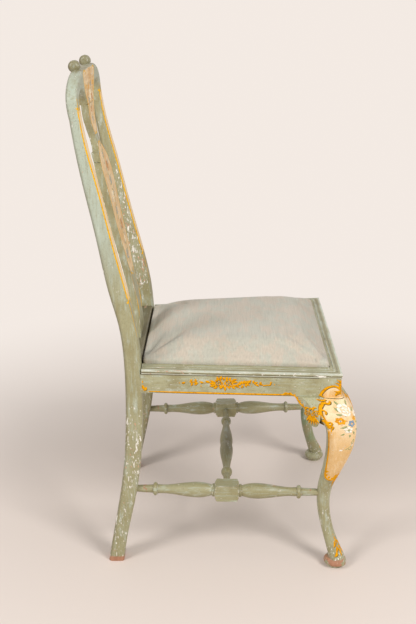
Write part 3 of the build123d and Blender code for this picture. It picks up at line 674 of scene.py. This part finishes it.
def garland(work, u, v):
    """Two roses with leaves about them, and sprigs that thin out to either side."""
    def leaf(from_u, from_v, to_u, to_v, width=6.4):
        work.leaf((u + from_u, v + from_v), (u + to_u, v + to_v), width, 0.15)

    work.rose(u - 11, v, 8.6)
    work.rose(u + 10, v, 8.6)
    for row in ((-8, 7, -14, 15), (-6, 8, -4, 16), (0, 7, 2, 14), (7, 7, 8, 15), (12, 7, 15, 13),
                (0, -6, 2, -17), (-5, -6, -9, -12), (8, -6, 12, -12), (-1, -3, -4, -9)):
        leaf(*row)
    for row in ((-18, 2, -28, 7), (-18, 0, -31, 1), (-18, -3, -30, -6), (-14, -6, -22, -11), (-29, 3, -38, 5),
                (17, 3, 27, 10), (18, 1, 29, 3), (18, -4, 33, -10), (15, -7, 23, -12), (27, -3, 36, -2)):
        leaf(*row)
    for row in ((40, 0, 36, 7), (42, 0, 43, 8), (44, 0, 50, 7), (43, -1, 46, -7), (46, -1, 53, -4),
                (47, 1, 56, 3), (39, -2, 35, -9), (50, 2, 57, 8), (38, 1, 31, 5)):
        leaf(*row, 5.8)
    for row in ((62, 0, 70, 4), (64, -1, 72, -5), (72, -1, 81, -2), (-53, -1, -63, 4), (-55, -1, -62, -4),
                (-63, 1, -71, 3), (-80, 1, -88, -1), (-56, 2, -58, 9), (-66, 0, -68, -7), (-67, 2, -66, 8),
                (-42, 1, -50, 4), (60, 2, 63, 8), (74, 0, 78, 5)):
        leaf(*row, 5.2)
    for row in ((-47, -7, 5.0), (-92, -1, 4.0), (104, 0, 4.4), (113, -1, 2.6), (57, -5, 3.8), (-39, 0, 4.2)):
        work.dot(u + row[0], v + row[1], row[2])
    work.stroke([(u + 80, v - 3), (u + 90, v - 1), (u + 96, v - 2), (u + 97, v + 6)], 3.0, 2.0, 4.4)


def rail_edge(work):
    """The line along a side rail's bottom edge and down its bracket."""
    work.stroke([(-140, 398.2), (-60, 397.4), (60, 397.4), (146, 398.2)], 2.0, 4.0, 4.2, 3.2)
    work.leaf((136, 397), (150, 401), 4.4, 0.2)
    work.leaf((146, 400), (157, 397), 4.4, 0.3)
    work.stroke([(147, 398.5), (157, 399), (163, 395), (168, 387), (173, 380), (179, 375), (184, 373)],
                3.2, 3.6, 3.0)
    for u, v in ((153.5, 401), (161.5, 398.5), (167, 393), (172, 386), (178, 380)):
        work.dot(u, v, 6.2)
    shell(work, 195, 363)


def shell(work, u, v):
    """A fan of ribs under two small rosettes and a row of curls."""
    for step in range(6):
        lean = math.radians(-124 + 15 * step)
        work.leaf((u - 3 + step * 1.2, v - 1), (u + 21 * math.cos(lean) + 1, v + 20.5 * math.sin(lean)), 5.0)
    work.rose(u - 8, v + 1, 6.0)
    work.rose(u + 7, v + 5, 6.4)
    work.leaf((u - 13, v + 5), (u - 4, v + 13), 5.0, 0.4)
    work.leaf((u - 5, v + 8), (u + 3, v + 14), 5.0, 0.4)
    work.leaf((u + 1, v + 10), (u + 9, v + 16), 5.0, 0.4)
    work.leaf((u - 13, v), (u - 16, v - 9), 4.4, -0.3)
    work.dot(u, v + 3, 4.4)
    work.dot(u + 12, v + 10, 4.4)


side_wood = ("side_seat_rail_right", "knee_bracket_side_right", "front_leg_right")
right_side = Brushwork("gilding_side_right", gold, umber)
right_side.outline = umber_stroke
garland(right_side, 16, 420)
rail_edge(right_side)
right_side.dot(-153, 419, 6.4)
right_side.leaf((-153, 412), (-144, 403), 7.0, -0.3)
right_side.leaf((-146, 408), (-152, 400), 6.0, 0.3)
other_hand(right_side.lay(side_wood, Vector((-0.24, 0, 0)), Vector((0, -1, 0))))

front_wood = ("front_seat_rail", "knee_bracket_front_right", "knee_bracket_front_left", "front_leg_right",
              "front_leg_left")
front_middle = Brushwork("gilding_front_rail", gold, umber)
front_middle.outline = umber_stroke
garland(front_middle, -2, 419)
front_middle.stroke([(-146, 398.2), (-60, 397.4), (60, 397.4), (146, 398.2)], 3.2, 4.2, 4.2, 3.2)
front_middle.lay(front_wood, Vector((0, -0.255, 0)), Vector((1, 0, 0)))
front_corner = Brushwork("gilding_front_bracket_right", gold, umber)
front_corner.outline = umber_stroke
front_corner.stroke([(-147, 398.5), (-155, 398), (-160, 393), (-166, 384), (-172, 378), (-178, 374)],
                    3.2, 3.6, 3.0)
for u, v in ((-151.5, 401), (-159, 398.5), (-164, 393), (-169.5, 385), (-175, 379.5)):
    front_corner.dot(u, v, 6.2)
shell(front_corner, -190, 363)
other_hand(front_corner.lay(front_wood, Vector((0, -0.255, 0)), Vector((1, 0, 0))))

# ------------------------------------------------------------------ painting on the front legs
# A gilt border of C-scrolls edges each cream panel, and a bunch of white, amber and blue
# flowers is painted on its bulge. Gilt lines follow the panel's sides down to its point on
# the shin, and a spray of gilt leaves with white dots covers the toe.

knee = Brushwork("painting_knee_right", *colours)


def both_ways(points, *widths):
    """The same stroke on both sides of the leg's corner."""
    knee.stroke(points, *widths)
    knee.stroke([(-u, v) for u, v in points], *widths)


knee.outline = umber_stroke
both_ways([(27.4, 397), (25.5, 403), (22.5, 410), (17.5, 416.5), (11, 420), (5, 418.5), (1.5, 413)],
          4.2, 4.8, 4.8, 4.4, 3.4)
both_ways([(37.5, 393), (34, 391.5), (29, 391.5), (26, 393)], 2.2, 4.0, 3.0, 2.0)
both_ways([(22, 391), (24, 387), (29, 386), (33, 388), (36.5, 384), (41, 379)], 2.0, 3.8, 4.6, 3.6)
both_ways([(37, 386), (41, 381), (44.5, 373), (45.8, 364), (44, 355), (40.5, 348), (38, 340)],
          3.0, 5.0, 5.2, 6.6, 6.6, 5.0)
both_ways([(44, 376), (39, 375.5), (36.5, 371), (39.5, 367.5)], 3.2, 3.4, 2.2)
both_ways([(41, 352), (36, 353), (34, 348.5), (37, 345.5)], 3.4, 3.4, 2.2)
both_ways([(39, 344), (34.5, 344.5), (33.5, 340), (36.5, 336)], 3.4, 3.4, 2.2)
for u, v in ((29, 388.5), (35.5, 384.5), (40.5, 377.5), (42.5, 361), (41, 354), (38.5, 346), (36, 334)):
    knee.dot(u, v, 5.6)
    knee.dot(-u, v, 5.6)
for lead in (-1, 1):
    knee.leaf((0, 412), (lead * 8, 427), 6.4, lead * 0.3)
    knee.leaf((0, 410), (lead * 9, 409), 5.4, lead * -0.3)
    knee.leaf((0, 420), (lead * 6, 434), 4.6, lead * 0.2)
    knee.leaf((lead * 2, 404), (lead * 7, 398), 4.6, lead * 0.3)
    knee.dot(lead * 4, 416, 5.0)
knee.stroke([(0, 433), (0, 420), (0, 402)], 3.0, 6.4, 3.4)
knee.stroke([(0, 222), (0, 212), (0, 200), (0, 184)], 3.0, 5.6, 4.4, 1.6)
for lead in (-1, 1):
    knee.leaf((lead * 2, 214), (lead * 9, 205), 5.4, lead * -0.3)
    knee.leaf((lead * 3, 205), (lead * 5, 194), 4.4, lead * -0.2)
knee.outline = None
# A thin umber line painted as shade in the crease where the knee leaves the block.
knee.colour = umber_stroke
knee.stroke([(-28, 396), (-12, 394.5), (0, 395.5), (12, 394.5), (28, 396)], 0.9, 1.5, 1.2, 1.5, 0.9)
knee.colour = green_stroke
for start, end, width in (((-17, 373), (-23, 381), 5), ((-18, 368), (-26, 369), 4.4),
                          ((-14, 384), (-16, 392), 4), ((-2, 384), (4, 392), 4.4), ((3, 372), (12, 376), 4.8),
                          ((-16, 346), (-25, 341), 4.2), ((-11, 340), (-18, 333), 4.6),
                          ((-6, 333), (-2, 325), 4.0), ((4, 350), (13, 347), 4.6), ((6, 360), (15, 362), 4.2),
                          ((-19, 329), (-24, 325), 3.2), ((-12, 327), (-12, 320), 3.2),
                          ((2, 336), (9, 331), 3.8)):
    knee.leaf(start, end, width, 0.15)
for points in ([(-1, 316), (-7, 309), (-4, 303), (0, 308), (-1, 314)], [(-4, 302), (-9, 295), (-13, 290)],
               [(-6, 299), (-2, 293), (-5, 288), (-9, 292)]):
    knee.stroke(points, 1.6)
knee.colour = white_stroke
knee.rose(-10, 376, 10.5)
knee.dot(-10, 376, 12)
knee.flower(-13, 337, 7.5, 5, 20, rust_stroke)
knee.flower(11, 366, 7, 5, 10, amber_stroke)
for side in (1, -1):
    knee.draw([(side * 17.5, 292), (side * 18.5, 288), (side * 19, 284)], (6, 9, 6), white_stroke, 0.85)
    knee.draw([(side * 18.5, 283), (side * 19.5, 278.5), (side * 20.5, 274)], (8, 13, 8), white_stroke, 0.88)
knee.colour = amber_stroke
knee.flower(-23, 355.5, 7.8, 6, 10, blue_stroke)
knee.flower(2, 359, 4.6, 5, 30, rust_stroke)
knee.colour = blue_stroke
knee.flower(-6.5, 350, 7.6, 5, 50, amber_stroke)
knee.colour = rust_stroke
for u, v, size in ((-10, 379, 2.4), (-6, 373, 2.0), (-14.5, 356, 3.2), (-27, 348, 2.2), (-22, 347, 2.0),
                   (-14, 365, 2.2), (6, 343, 2.2)):
    knee.dot(u, v, size)
knee_wood = ("front_leg_right", "knee_bracket_side_right", "knee_bracket_front_right", "side_seat_rail_right",
             "front_seat_rail")
knee_corner = Vector((-0.2505, -0.255, 0))
slantwise = Vector((1, -1, 0)).normalized()
other_hand(knee.lay(knee_wood, knee_corner, slantwise, relief=0.28))

shin_line = [(350.5, 333), (347.9, 323), (345.6, 297), (341.5, 271), (336.3, 247), (331.6, 226), (329.1, 214),
             (333.3, 206.5), (339.4, 203), (345.1, 208), (350.9, 220)]
shin_widths = (3.4, 4.0, 3.8, 4.0, 3.8, 4.0, 4.8, 4.8, 4.4, 3.8, 2.4)
for name, across, placed in (
        ("gilding_shin_side_right", Vector((-0.6, -0.8, 0)), lambda u: u),
        ("gilding_shin_front_right", Vector((0.8, 0.6, 0)), lambda u: 0.9 - u)):
    shin = Brushwork(name, gold)
    shin.stroke([(placed(u), v) for u, v in shin_line], *shin_widths)
    for start_u, end_u, v in ((334.3, 340.6, 224), (331.6, 337.7, 214), (336.6, 341.9, 209),
                              (342.3, 346.9, 206)):
        shin.leaf((placed(start_u), v), (placed(end_u), v + 5), 4.6, 0.3)
    other_hand(shin.lay(("front_leg_right",), Vector((0, 0, 0)), across, relief=0.25))

toe = Brushwork("painting_toe_right", *colours)
toe.outline = umber_stroke
for start, end, width in (((0, 66), (-1, 50), 4.6), ((-3, 58), (-9, 46), 4.8), ((3, 58), (9, 46), 4.8),
                          ((-2, 48), (-9, 36), 5.4), ((2, 48), (9, 36), 5.4), ((0, 44), (0, 28), 5.4),
                          ((-7, 38), (-14, 28), 5.0), ((7, 38), (14, 28), 5.0)):
    toe.leaf(start, end, width, 0.12)
toe.dot(0, 70, 3.6)
toe.outline = None
toe.colour = white_stroke
for u, v, size in ((-4, 33, 4.0), (5, 31, 4.0), (-10, 24, 4.4), (10, 24, 4.0), (-5, 26, 3.4), (-13, 35, 3.4)):
    toe.dot(u, v, size)
other_hand(toe.lay(("front_leg_right",), knee_corner, slantwise, relief=0.25))

# ------------------------------------------------------------------ painting on the back
# A gilt line runs down both front arrises of each post, with a small scroll at its ends and
# a hairline tail. A thinner one edges the panel on the splat and the crest, where a faded
# string of blue and rust flowers hangs.

bright_gold = brushed("bright_gold", (0.90, 0.50, 0.01, 1), (0.68, 0.31, 0.005, 1))
post = Brushwork("gilding_post_right", bright_gold)


def down_post(depth, *heights):
    """Points down the right post, at a depth in from its outer face."""
    return [(-(230 - post_lean * z - depth), z) for z in heights]


for depth, curl in ((2.8, 1), (31.2, -1)):
    post.stroke(down_post(depth, 972, 900, 820, 740, 660, 598), 3.0, 3.8, 3.8, 3.8, 3.4)
    post.stroke(down_post(depth + curl, 600, 580, 550, 515), 2.6, 1.8, 1.2)
    post.stroke(down_post(depth + curl, 972, 984, 996), 2.4, 1.0)
    for z, way in ((974, 1), (593, -1)):
        post.stroke([*down_post(depth - curl * 2, z + way * 5), *down_post(depth, z),
                     *down_post(depth + curl * 6, z - way), *down_post(depth + curl * 8, z + way * 4)],
                    2.6, 4.2, 3.2, 1.6)
        post.dot(*down_post(depth + curl * 5, z - way * 5)[0], 2.6)
post.stroke(down_post(17, 606, 598, 588), 1.2, 3.4, 1.0)
post.stroke(down_post(17, 962, 968, 978), 1.2, 3.0, 1.0)
post_wood = ("rear_post_right", "crest_rail")
from_front = Vector((1, 0, 0))
other_hand(post.lay(post_wood, Vector((0, 0.15, 0)), from_front, relief=0.3))

faded_white = brushed("faded_white", (0.84, 0.72, 0.52, 1), (0.74, 0.56, 0.34, 1))
faded_amber = brushed("faded_amber", (0.70, 0.38, 0.12, 1), (0.66, 0.46, 0.24, 1))
faded_blue = brushed("faded_blue", (0.36, 0.37, 0.34, 1), (0.56, 0.47, 0.32, 1))
faded_green = brushed("faded_green", (0.45, 0.40, 0.22, 1), (0.62, 0.50, 0.28, 1))
faded_rust = brushed("faded_rust", (0.50, 0.24, 0.10, 1), (0.66, 0.44, 0.24, 1))
filled_joint = brushed("filled_joint", (0.86, 0.60, 0.30, 1), (0.74, 0.47, 0.20, 1))
panel = Brushwork("painting_back_panel", bright_gold, umber, faded_white, faded_amber, faded_blue, faded_green,
                  faded_rust, filled_joint)
filler_stroke = rust_stroke + 1
panel.colour = filler_stroke
panel.stroke([(-41, splat_joint_z + 1), (0, splat_joint_z + 1), (41, splat_joint_z + 1)], 4.6)
panel.colour = gold_stroke
for part in (slice(1, 11), slice(13, -1)):
    edge = [(half, z) for z, half in panel_widths[part]]
    for side in (1, -1):
        panel.stroke([(side * half, z) for half, z in edge], 2.4)
for side in (1, -1):
    panel.stroke([(side * 26, 606), (side * 20, 596), (side * 10, 598), (0, 590)], 2.2, 3.2, 2.0)
    panel.stroke([(side * 12, 884), (side * 5, 890), (0, 884)], 2.0, 3.0, 1.8)
    panel.stroke([(side * 17, 908), (side * 9, 900), (0, 907)], 2.0, 3.0, 1.8)
    panel.stroke([(side * 26, 604), (side * 30, 580), (side * 31, 545)], 2.0, 1.2)
    panel.leaf((side * 31, 548), (side * 31, 500), 8, 0.03)
    panel.stroke([(side * 84, 1034), (side * 70, 1040), (side * 52, 1036), (side * 44, 1028)],
                 2.2, 3.4, 2.4, 1.6)
    panel.stroke([(side * 38, 1002), (side * 48, 1010), (side * 58, 1008), (side * 56, 1001),
                  (side * 50, 1003)], 1.4, 2.8, 1.8)
panel.colour = green_stroke
for z in range(618, 872, 12):
    sway = 9 * math.sin(z / 17)
    panel.stroke([(9 * math.sin(far / 17), far) for far in (z, z + 6, z + 12)], 1.2)
    for side in (1, -1):
        panel.leaf((sway, z + 4), (sway + side * (12 + 5 * math.sin(z)), z + 9 + side * 2), 4.0, side * 0.2)
for z, size, colour in ((640, 12, blue_stroke), (672, 9, white_stroke), (704, 13, rust_stroke),
                        (738, 10, blue_stroke), (770, 14, white_stroke), (802, 11, blue_stroke),
                        (832, 12, rust_stroke), (858, 7, blue_stroke)):
    panel.colour = colour
    sway = 14 * math.sin(z / 21)
    panel.flower(sway, z, size, 5 + z % 2, z, amber_stroke)
    panel.flower(sway, z, size * 0.55, 5, z + 40)
    panel.colour = green_stroke if colour == blue_stroke else blue_stroke
    panel.leaf((sway + size, z), (sway + size + 14, z + 8), 3.8, 0.2)
    panel.leaf((sway - size, z), (sway - size - 14, z - 7), 3.8, 0.2)
for u, z, size, colour in ((0, 985, 13, white_stroke), (-22, 974, 8, blue_stroke), (23, 978, 9, rust_stroke),
                           (0, 955, 8, rust_stroke), (-16, 1003, 7, amber_stroke), (17, 1006, 7, blue_stroke),
                           (0, 935, 6, blue_stroke)):
    panel.colour = colour
    panel.flower(u, z, size, 6, 3 * z, amber_stroke)
    panel.flower(u, z, size * 0.5, 5, z)
    panel.colour = green_stroke
    for lead in (30, 150, 270):
        angle = math.radians(lead + u)
        panel.leaf((u + size * math.cos(angle), z + size * math.sin(angle)),
                   (u + size * 1.9 * math.cos(angle), z + size * 1.9 * math.sin(angle)), 3.8, 0.2)
panel.lay(("splat", "crest_rail"), Vector((0, 0.15, 0)), from_front, relief=0.22)

# ------------------------------------------------------------------ drop-in seat
# A loose frame of pale beech is webbed, covered with burlap and stuffed. Hair and cotton are
# heaped on it, and grey-beige linen is pulled over them and round the frame. It is taut in
# the middle, rolls over at the edges and ends in a hem that is tacked under the frame.

beech_light, beech_dark = (0.60, 0.42, 0.26, 1), (0.42, 0.26, 0.14, 1)
give(bare_wood("beech_cross", beech_light, beech_dark, along_x), "slip_frame_front", "slip_frame_rear")
give(bare_wood("beech_long", beech_light, beech_dark, along_y), "slip_frame_side_left", "slip_frame_side_right")
give(old_steel("tack_steel", (0.16, 0.16, 0.17, 1), 500), "seat_tacks")


def flat_weave(name, thread, light, dark):
    """Plain weave of light and dark threads that lies flat, seen as colour and as height."""
    finish = Finish(name, 0.95)
    pace = 2 * math.pi / thread
    warp, weft = ((finish.axis(finish.place, letter) * pace).math("SINE") for letter in "YX")
    crossing = warp * weft
    finish.wire("Base Color", finish.over(dark, light, crossing + finish.noise(420, 3), -0.2, 1.2))
    finish.bump(crossing, 0.3 * thread)
    return finish


give(flat_weave("jute_webbing", 2.4 * mm, (0.55, 0.40, 0.23, 1), (0.30, 0.20, 0.10, 1)),
     "seat_webbing_long", "seat_webbing_cross")

cover_low, cover_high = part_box("seat_cover")
sag, sag_reach = 0.2 * mm, 0.03


def stretched_sheet(name, finish, thickness):
    """A flat sheet that sags a little, cut to the seat's taper, in the place of a CAD sheet."""
    low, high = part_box(name)
    width, depth = high.x - low.x, high.y - low.y
    bpy.ops.object.select_all(action="DESELECT")
    bpy.ops.mesh.primitive_grid_add(x_subdivisions=24, y_subdivisions=24, size=1,
                                    location=(0, (low.y + high.y) / 2, (low.z + high.z) / 2))
    bpy.ops.transform.resize(value=(width, depth, 1))
    sheet = bpy.context.object
    sheet.name = f"{name}_cloth"
    bpy.ops.object.transform_apply(location=True, rotation=True, scale=True)
    for point in sheet.data.vertices:
        point.co.x *= 1 - splay * (point.co.y - low.y) / (width / 2)
        inset = min(abs(abs(point.co.y - (low.y + high.y) / 2) - depth / 2), sag_reach) / sag_reach
        point.co.z -= sag * inset
    solid = sheet.modifiers.new("thickness", "SOLIDIFY")
    solid.thickness = thickness
    solid.offset = 0
    bpy.ops.object.modifier_apply(modifier="thickness")
    sheet.data.materials.append(finish.material)
    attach(sheet, "slip_seat")
    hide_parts(name)
    return sheet


burlap = flat_weave("burlap", 1.8 * mm, (0.50, 0.36, 0.20, 1), (0.26, 0.17, 0.08, 1))
cambric = flat_weave("black_cambric", 0.8 * mm, (0.035, 0.034, 0.036, 1), (0.012, 0.012, 0.013, 1))
stretched_sheet("seat_burlap", burlap, 0.6 * mm)
stretched_sheet("dust_cover", cambric, 0.5 * mm)

ledge_z = cover_low.z + 0.5 * mm
frame_top_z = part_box("slip_frame_front")[1].z
burlap_top_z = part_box("seat_burlap")[1].z
half_front = cover_high.x
seat_depth = cover_high.y - cover_low.y
half_rear = half_front - splay * seat_depth
wall_top_z = 0.4585
pad_rise = 0.0245
pad_roll = 0.026
pad_bevel, pad_mesh = 7 * mm, 6 * mm
hem_width = 0.03
wall_inset, wall_foot_z = -0.3 * mm, 0.4505
wall_roll, wall_roll_z = 5 * mm, 9 * mm
near_wall, corner_round = 9 * mm, 5 * mm
swell = 7 * mm
linen_thickness = 1 * mm
under_linen = 2.5 * mm


def pick(kind, test):
    """In edit mode, selects only the vertices, edges or faces that pass a test."""
    bpy.ops.mesh.select_all(action="DESELECT")
    bpy.ops.mesh.select_mode(type=kind)
    mesh = bmesh.from_edit_mesh(bpy.context.object.data)
    for part in {"VERT": mesh.verts, "EDGE": mesh.edges, "FACE": mesh.faces}[kind]:
        part.select_set(test(part))
    mesh.select_flush_mode()
    bmesh.update_edit_mesh(bpy.context.object.data)


def from_edges(place):
    """How far a plan point is inside the sides, the front and the back of the seat."""
    half = half_front - splay * (place.y - cover_low.y)
    return half - abs(place.x), place.y - cover_low.y, cover_high.y - place.y


def apply_modifiers(piece):
    """Makes a piece's modifiers part of its mesh."""
    bpy.context.view_layer.objects.active = piece
    for modifier in list(piece.modifiers):
        bpy.ops.object.modifier_apply(modifier=modifier.name)


bpy.ops.object.select_all(action="DESELECT")
bpy.ops.mesh.primitive_cube_add(
    size=1, location=(0, (cover_low.y + cover_high.y) / 2, (ledge_z + wall_top_z) / 2),
    scale=(2 * half_front - 1 * mm, seat_depth - 1 * mm, wall_top_z - ledge_z))
pad = bpy.context.object
pad.name = "seat_pad"
bpy.ops.object.transform_apply(location=True, rotation=True, scale=True)
bpy.ops.object.mode_set(mode="EDIT")
pick("FACE", lambda face: face.normal.y > 0.9)
bpy.ops.transform.resize(value=(half_rear / half_front, 1, 1), center_override=(0, 0, 0))
pick("EDGE", lambda edge: abs(edge.verts[0].co.z - edge.verts[1].co.z) > 20 * mm)
bpy.ops.mesh.bevel(offset=pad_bevel, segments=3)
bpy.ops.object.mode_set(mode="OBJECT")
remesh = pad.modifiers.new("even_mesh", "REMESH")
remesh.mode = "VOXEL"
remesh.voxel_size = pad_mesh
remesh.use_smooth_shade = True
apply_modifiers(pad)
for point in pad.data.vertices:
    if point.co.z > wall_top_z - 2 * mm:
        lift = math.prod(1 - math.exp(-max(gap, 0) / pad_roll) for gap in from_edges(point.co))
        point.co.z += pad_rise * lift
rest = [point.co.copy() for point in pad.data.vertices]
held = pad.vertex_groups.new(name="held")
held.add([point.index for point in pad.data.vertices if point.co.z < frame_top_z - 1 * mm], 1, "REPLACE")
cloth = pad.modifiers.new("stretch", "CLOTH")
cloth.settings.quality = 6
cloth.settings.mass = 0.3
cloth.settings.tension_stiffness = 25
cloth.settings.compression_stiffness = 20
cloth.settings.shear_stiffness = 10
cloth.settings.bending_stiffness = 1.5
cloth.settings.use_pressure = True
cloth.settings.uniform_pressure_force = 5
cloth.settings.vertex_group_mass = "held"
cloth.settings.effector_weights.gravity = 0
for step in range(1, 21):
    bpy.context.scene.frame_set(step)
apply_modifiers(pad)
bpy.context.scene.frame_set(1)
for point, start in zip(pad.data.vertices, rest):
    moved = point.co - start
    point.co = start + moved * min(1, swell / max(moved.length, 1e-9))


def fill_opening(piece):
    """Pulls a piece's upright sides out to the seat's plan, with a small round at its corners."""
    for point in piece.data.vertices:
        roll = max(point.co.z - wall_foot_z, 0) / wall_roll_z
        inset = wall_inset + roll * roll * wall_roll
        side, front, back = from_edges(point.co)
        end = min(front, back)
        to_side = math.copysign(1, point.co.x)
        to_end = -1 if front < back else 1
        if max(side, end) < corner_round:
            out_side, out_end = corner_round - side, corner_round - end
            push = max((corner_round - inset) / math.hypot(out_side, out_end) - 1, 0)
            point.co.x += out_side * push * to_side
            point.co.y += out_end * push * to_end
        elif side < end and inset < side < near_wall:
            point.co.x += (side - inset) * to_side
        elif inset < end < near_wall:
            point.co.y += (end - inset) * to_end


fill_opening(pad)
choose(pad)
bpy.ops.object.duplicate()
cover = bpy.context.object
cover.name = "linen_seat_cover"
cover.data.name = cover.name
bpy.ops.object.mode_set(mode="EDIT")
pick("FACE", lambda face: face.normal.z < -0.9 and min(from_edges(face.calc_center_median())) > hem_width)
bpy.ops.mesh.delete(type="FACE")
bpy.ops.object.mode_set(mode="OBJECT")
smooth = cover.modifiers.new("smooth", "SUBSURF")
smooth.levels = 1
smooth.render_levels = 1
apply_modifiers(cover)
fill_opening(cover)
thick = cover.modifiers.new("cloth_thickness", "SOLIDIFY")
thick.thickness = linen_thickness
thick.offset = -1
apply_modifiers(cover)
bpy.ops.object.shade_smooth()

choose(pad)
bpy.ops.object.mode_set(mode="EDIT")
bpy.ops.mesh.select_all(action="SELECT")
bpy.ops.transform.shrink_fatten(value=-under_linen)
bpy.ops.mesh.bisect(plane_co=(0, 0, burlap_top_z), plane_no=(0, 0, -1), clear_outer=True, use_fill=True)
bpy.ops.object.mode_set(mode="OBJECT")
bpy.ops.object.shade_smooth()

linen = Finish("grey_linen", 0.9)
sides = linen.add("ShaderNodeVectorMath", {"operation": "ABSOLUTE"}, {0: linen.facing})
x_wall, y_wall = (linen.rise(linen.axis(sides, letter), 0.6, 0.8) for letter in "XY")
thread = 2 * math.pi / (0.9 * mm)
x_thread, y_thread, z_thread = ((linen.axis(linen.place, letter) * thread).math("SINE") for letter in "XYZ")
flat_top = x_thread * y_thread * (1 - x_wall) * (1 - y_wall)
weave = flat_top + y_thread * z_thread * x_wall + x_thread * z_thread * y_wall
slub_across = linen.noise(330, 3, (0.05, 1, 0.6))
slub_along = linen.noise(330, 3, (1, 0.05, 0.6), shift=3)
patch = linen.noise(38, 3, (0.5, 1, 1), shift=7)
cloud = linen.noise(7, 2, shift=5)
cloth_colour = linen.over((0.60, 0.52, 0.42, 1), (0.55, 0.53, 0.44, 1), patch, 0.42, 0.6)
cloth_colour = linen.over(cloth_colour, (0.38, 0.36, 0.29, 1), slub_across, 0.5, 0.72, 0.35)
cloth_colour = linen.over(cloth_colour, (0.74, 0.68, 0.58, 1), slub_across, 0.48, 0.3, 0.35)
cloth_colour = linen.over(cloth_colour, (0.40, 0.36, 0.29, 1), slub_along, 0.55, 0.75, 0.22)
cloth_colour = linen.over(cloth_colour, (0.36, 0.29, 0.20, 1), cloud, 0.45, 0.7, 0.15)
linen.wire("Base Color", cloth_colour)
linen.bump(weave + slub_across * 1.5 + slub_along, 0.12 * mm, 0.8)
linen.shader.inputs["Sheen Weight"].default_value = 0.25
linen.shader.inputs["Specular IOR Level"].default_value = 0.2
cover.data.materials.clear()
cover.data.materials.append(linen.material)
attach(cover, "slip_seat")
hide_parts("seat_cover")

batting = Finish("hair_and_cotton", 0.95)
fibre = batting.noise(140, 5, (1, 0.4, 1))
batting.wire("Base Color", batting.over((0.62, 0.55, 0.44, 1), (0.82, 0.78, 0.70, 1), fibre, 0.35, 0.7))
batting.bump(fibre, 2 * mm, 0.6)
pad.data.materials.append(batting.material)
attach(pad, "slip_seat")
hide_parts("seat_stuffing")

# ------------------------------------------------------------------ floor, light and camera
# A plain pale floor that pales further away into the backdrop, two broad soft lamps and an
# even sky. The camera stands beside the chair, a little above it, and looks slightly down.

floor_colour = (0.80, 0.70, 0.635, 1)
backdrop_colour = (0.90, 0.825, 0.77, 1)
floor_size, floor_drop = 60, 0.5 * mm
bpy.ops.object.select_all(action="DESELECT")
bpy.ops.mesh.primitive_plane_add(size=floor_size, location=(0, 0, -floor_drop))
floor = bpy.context.object
floor.name = "floor"
pale = Finish("pale_floor", 1)
pale.shader.inputs["Specular IOR Level"].default_value = 0
pale.shader.inputs["Emission Strength"].default_value = 1
away = pale.add("ShaderNodeVectorMath", {"operation": "LENGTH"}, {0: pale.place}, "Value")
seen = pale.add("ShaderNodeLightPath", {}, {}, "Is Camera Ray")
faded = pale.rise(away, 0.32, 1.6) * seen
pale.wire("Base Color", pale.mix(faded, floor_colour, (0, 0, 0, 1)))
pale.wire("Emission Color", pale.mix(faded, (0, 0, 0, 1), backdrop_colour))
floor.data.materials.append(pale.material)

world = bpy.data.worlds.new("studio")
bpy.context.scene.world = world
world.use_nodes = True
sky = world.node_tree
background = sky.nodes["Background"]
background.inputs["Color"].default_value = (1, 0.985, 0.965, 1)
background.inputs["Strength"].default_value = 0.46
backdrop = sky.nodes.new("ShaderNodeBackground")
backdrop.inputs["Color"].default_value = backdrop_colour
rays = sky.nodes.new("ShaderNodeLightPath")
both = sky.nodes.new("ShaderNodeMixShader")
any_ray = rays.outputs["Is Camera Ray"]
for kind in ("Is Glossy Ray", "Is Transmission Ray"):
    widest = sky.nodes.new("ShaderNodeMath")
    widest.operation = "MAXIMUM"
    sky.links.new(any_ray, widest.inputs[0])
    sky.links.new(rays.outputs[kind], widest.inputs[1])
    any_ray = widest.outputs[0]
sky.links.new(any_ray, both.inputs[0])
sky.links.new(background.outputs[0], both.inputs[1])
sky.links.new(backdrop.outputs[0], both.inputs[2])
sky.links.new(both.outputs[0], sky.nodes["World Output"].inputs["Surface"])


def lamp(name, place, size, power):
    """A round soft lamp that points at the middle of the chair."""
    bpy.ops.object.light_add(type="AREA", location=place)
    made = bpy.context.object
    made.name = name
    made.data.shape = "DISK"
    made.data.size = size
    made.data.energy = power
    made.rotation_euler = (Vector((0, 0, 0.5)) - Vector(place)).to_track_quat("-Z", "Y").to_euler()


lamp("lamp_front", (-2.2, -2.0, 2.4), 1.3, 70)
lamp("lamp_rear", (-1.9, 2.3, 2.3), 1.3, 50)

eye = Vector((-2.0496, -0.0206, 1.1941))
yaw = math.radians(-1.08)
pitch = math.radians(18.75)
roll = math.radians(-1.08)
focal_pixels, picture_height, sensor_width = 957.9, 624, 36
ahead = Vector((math.cos(yaw) * math.cos(pitch), -math.sin(yaw) * math.cos(pitch), -math.sin(pitch)))
level = Vector((-math.sin(yaw), -math.cos(yaw), 0))
above = level.cross(ahead)
right = level * math.cos(roll) + above * math.sin(roll)
up = above * math.cos(roll) - level * math.sin(roll)
bpy.ops.object.camera_add()
camera = bpy.context.object
camera.name = "camera"
camera.matrix_world = Matrix.Translation(eye) @ Matrix((right, up, -ahead)).transposed().to_4x4()
camera.data.lens = focal_pixels * sensor_width / picture_height
bpy.context.scene.camera = camera
bpy.context.scene.view_settings.view_transform = "Standard"
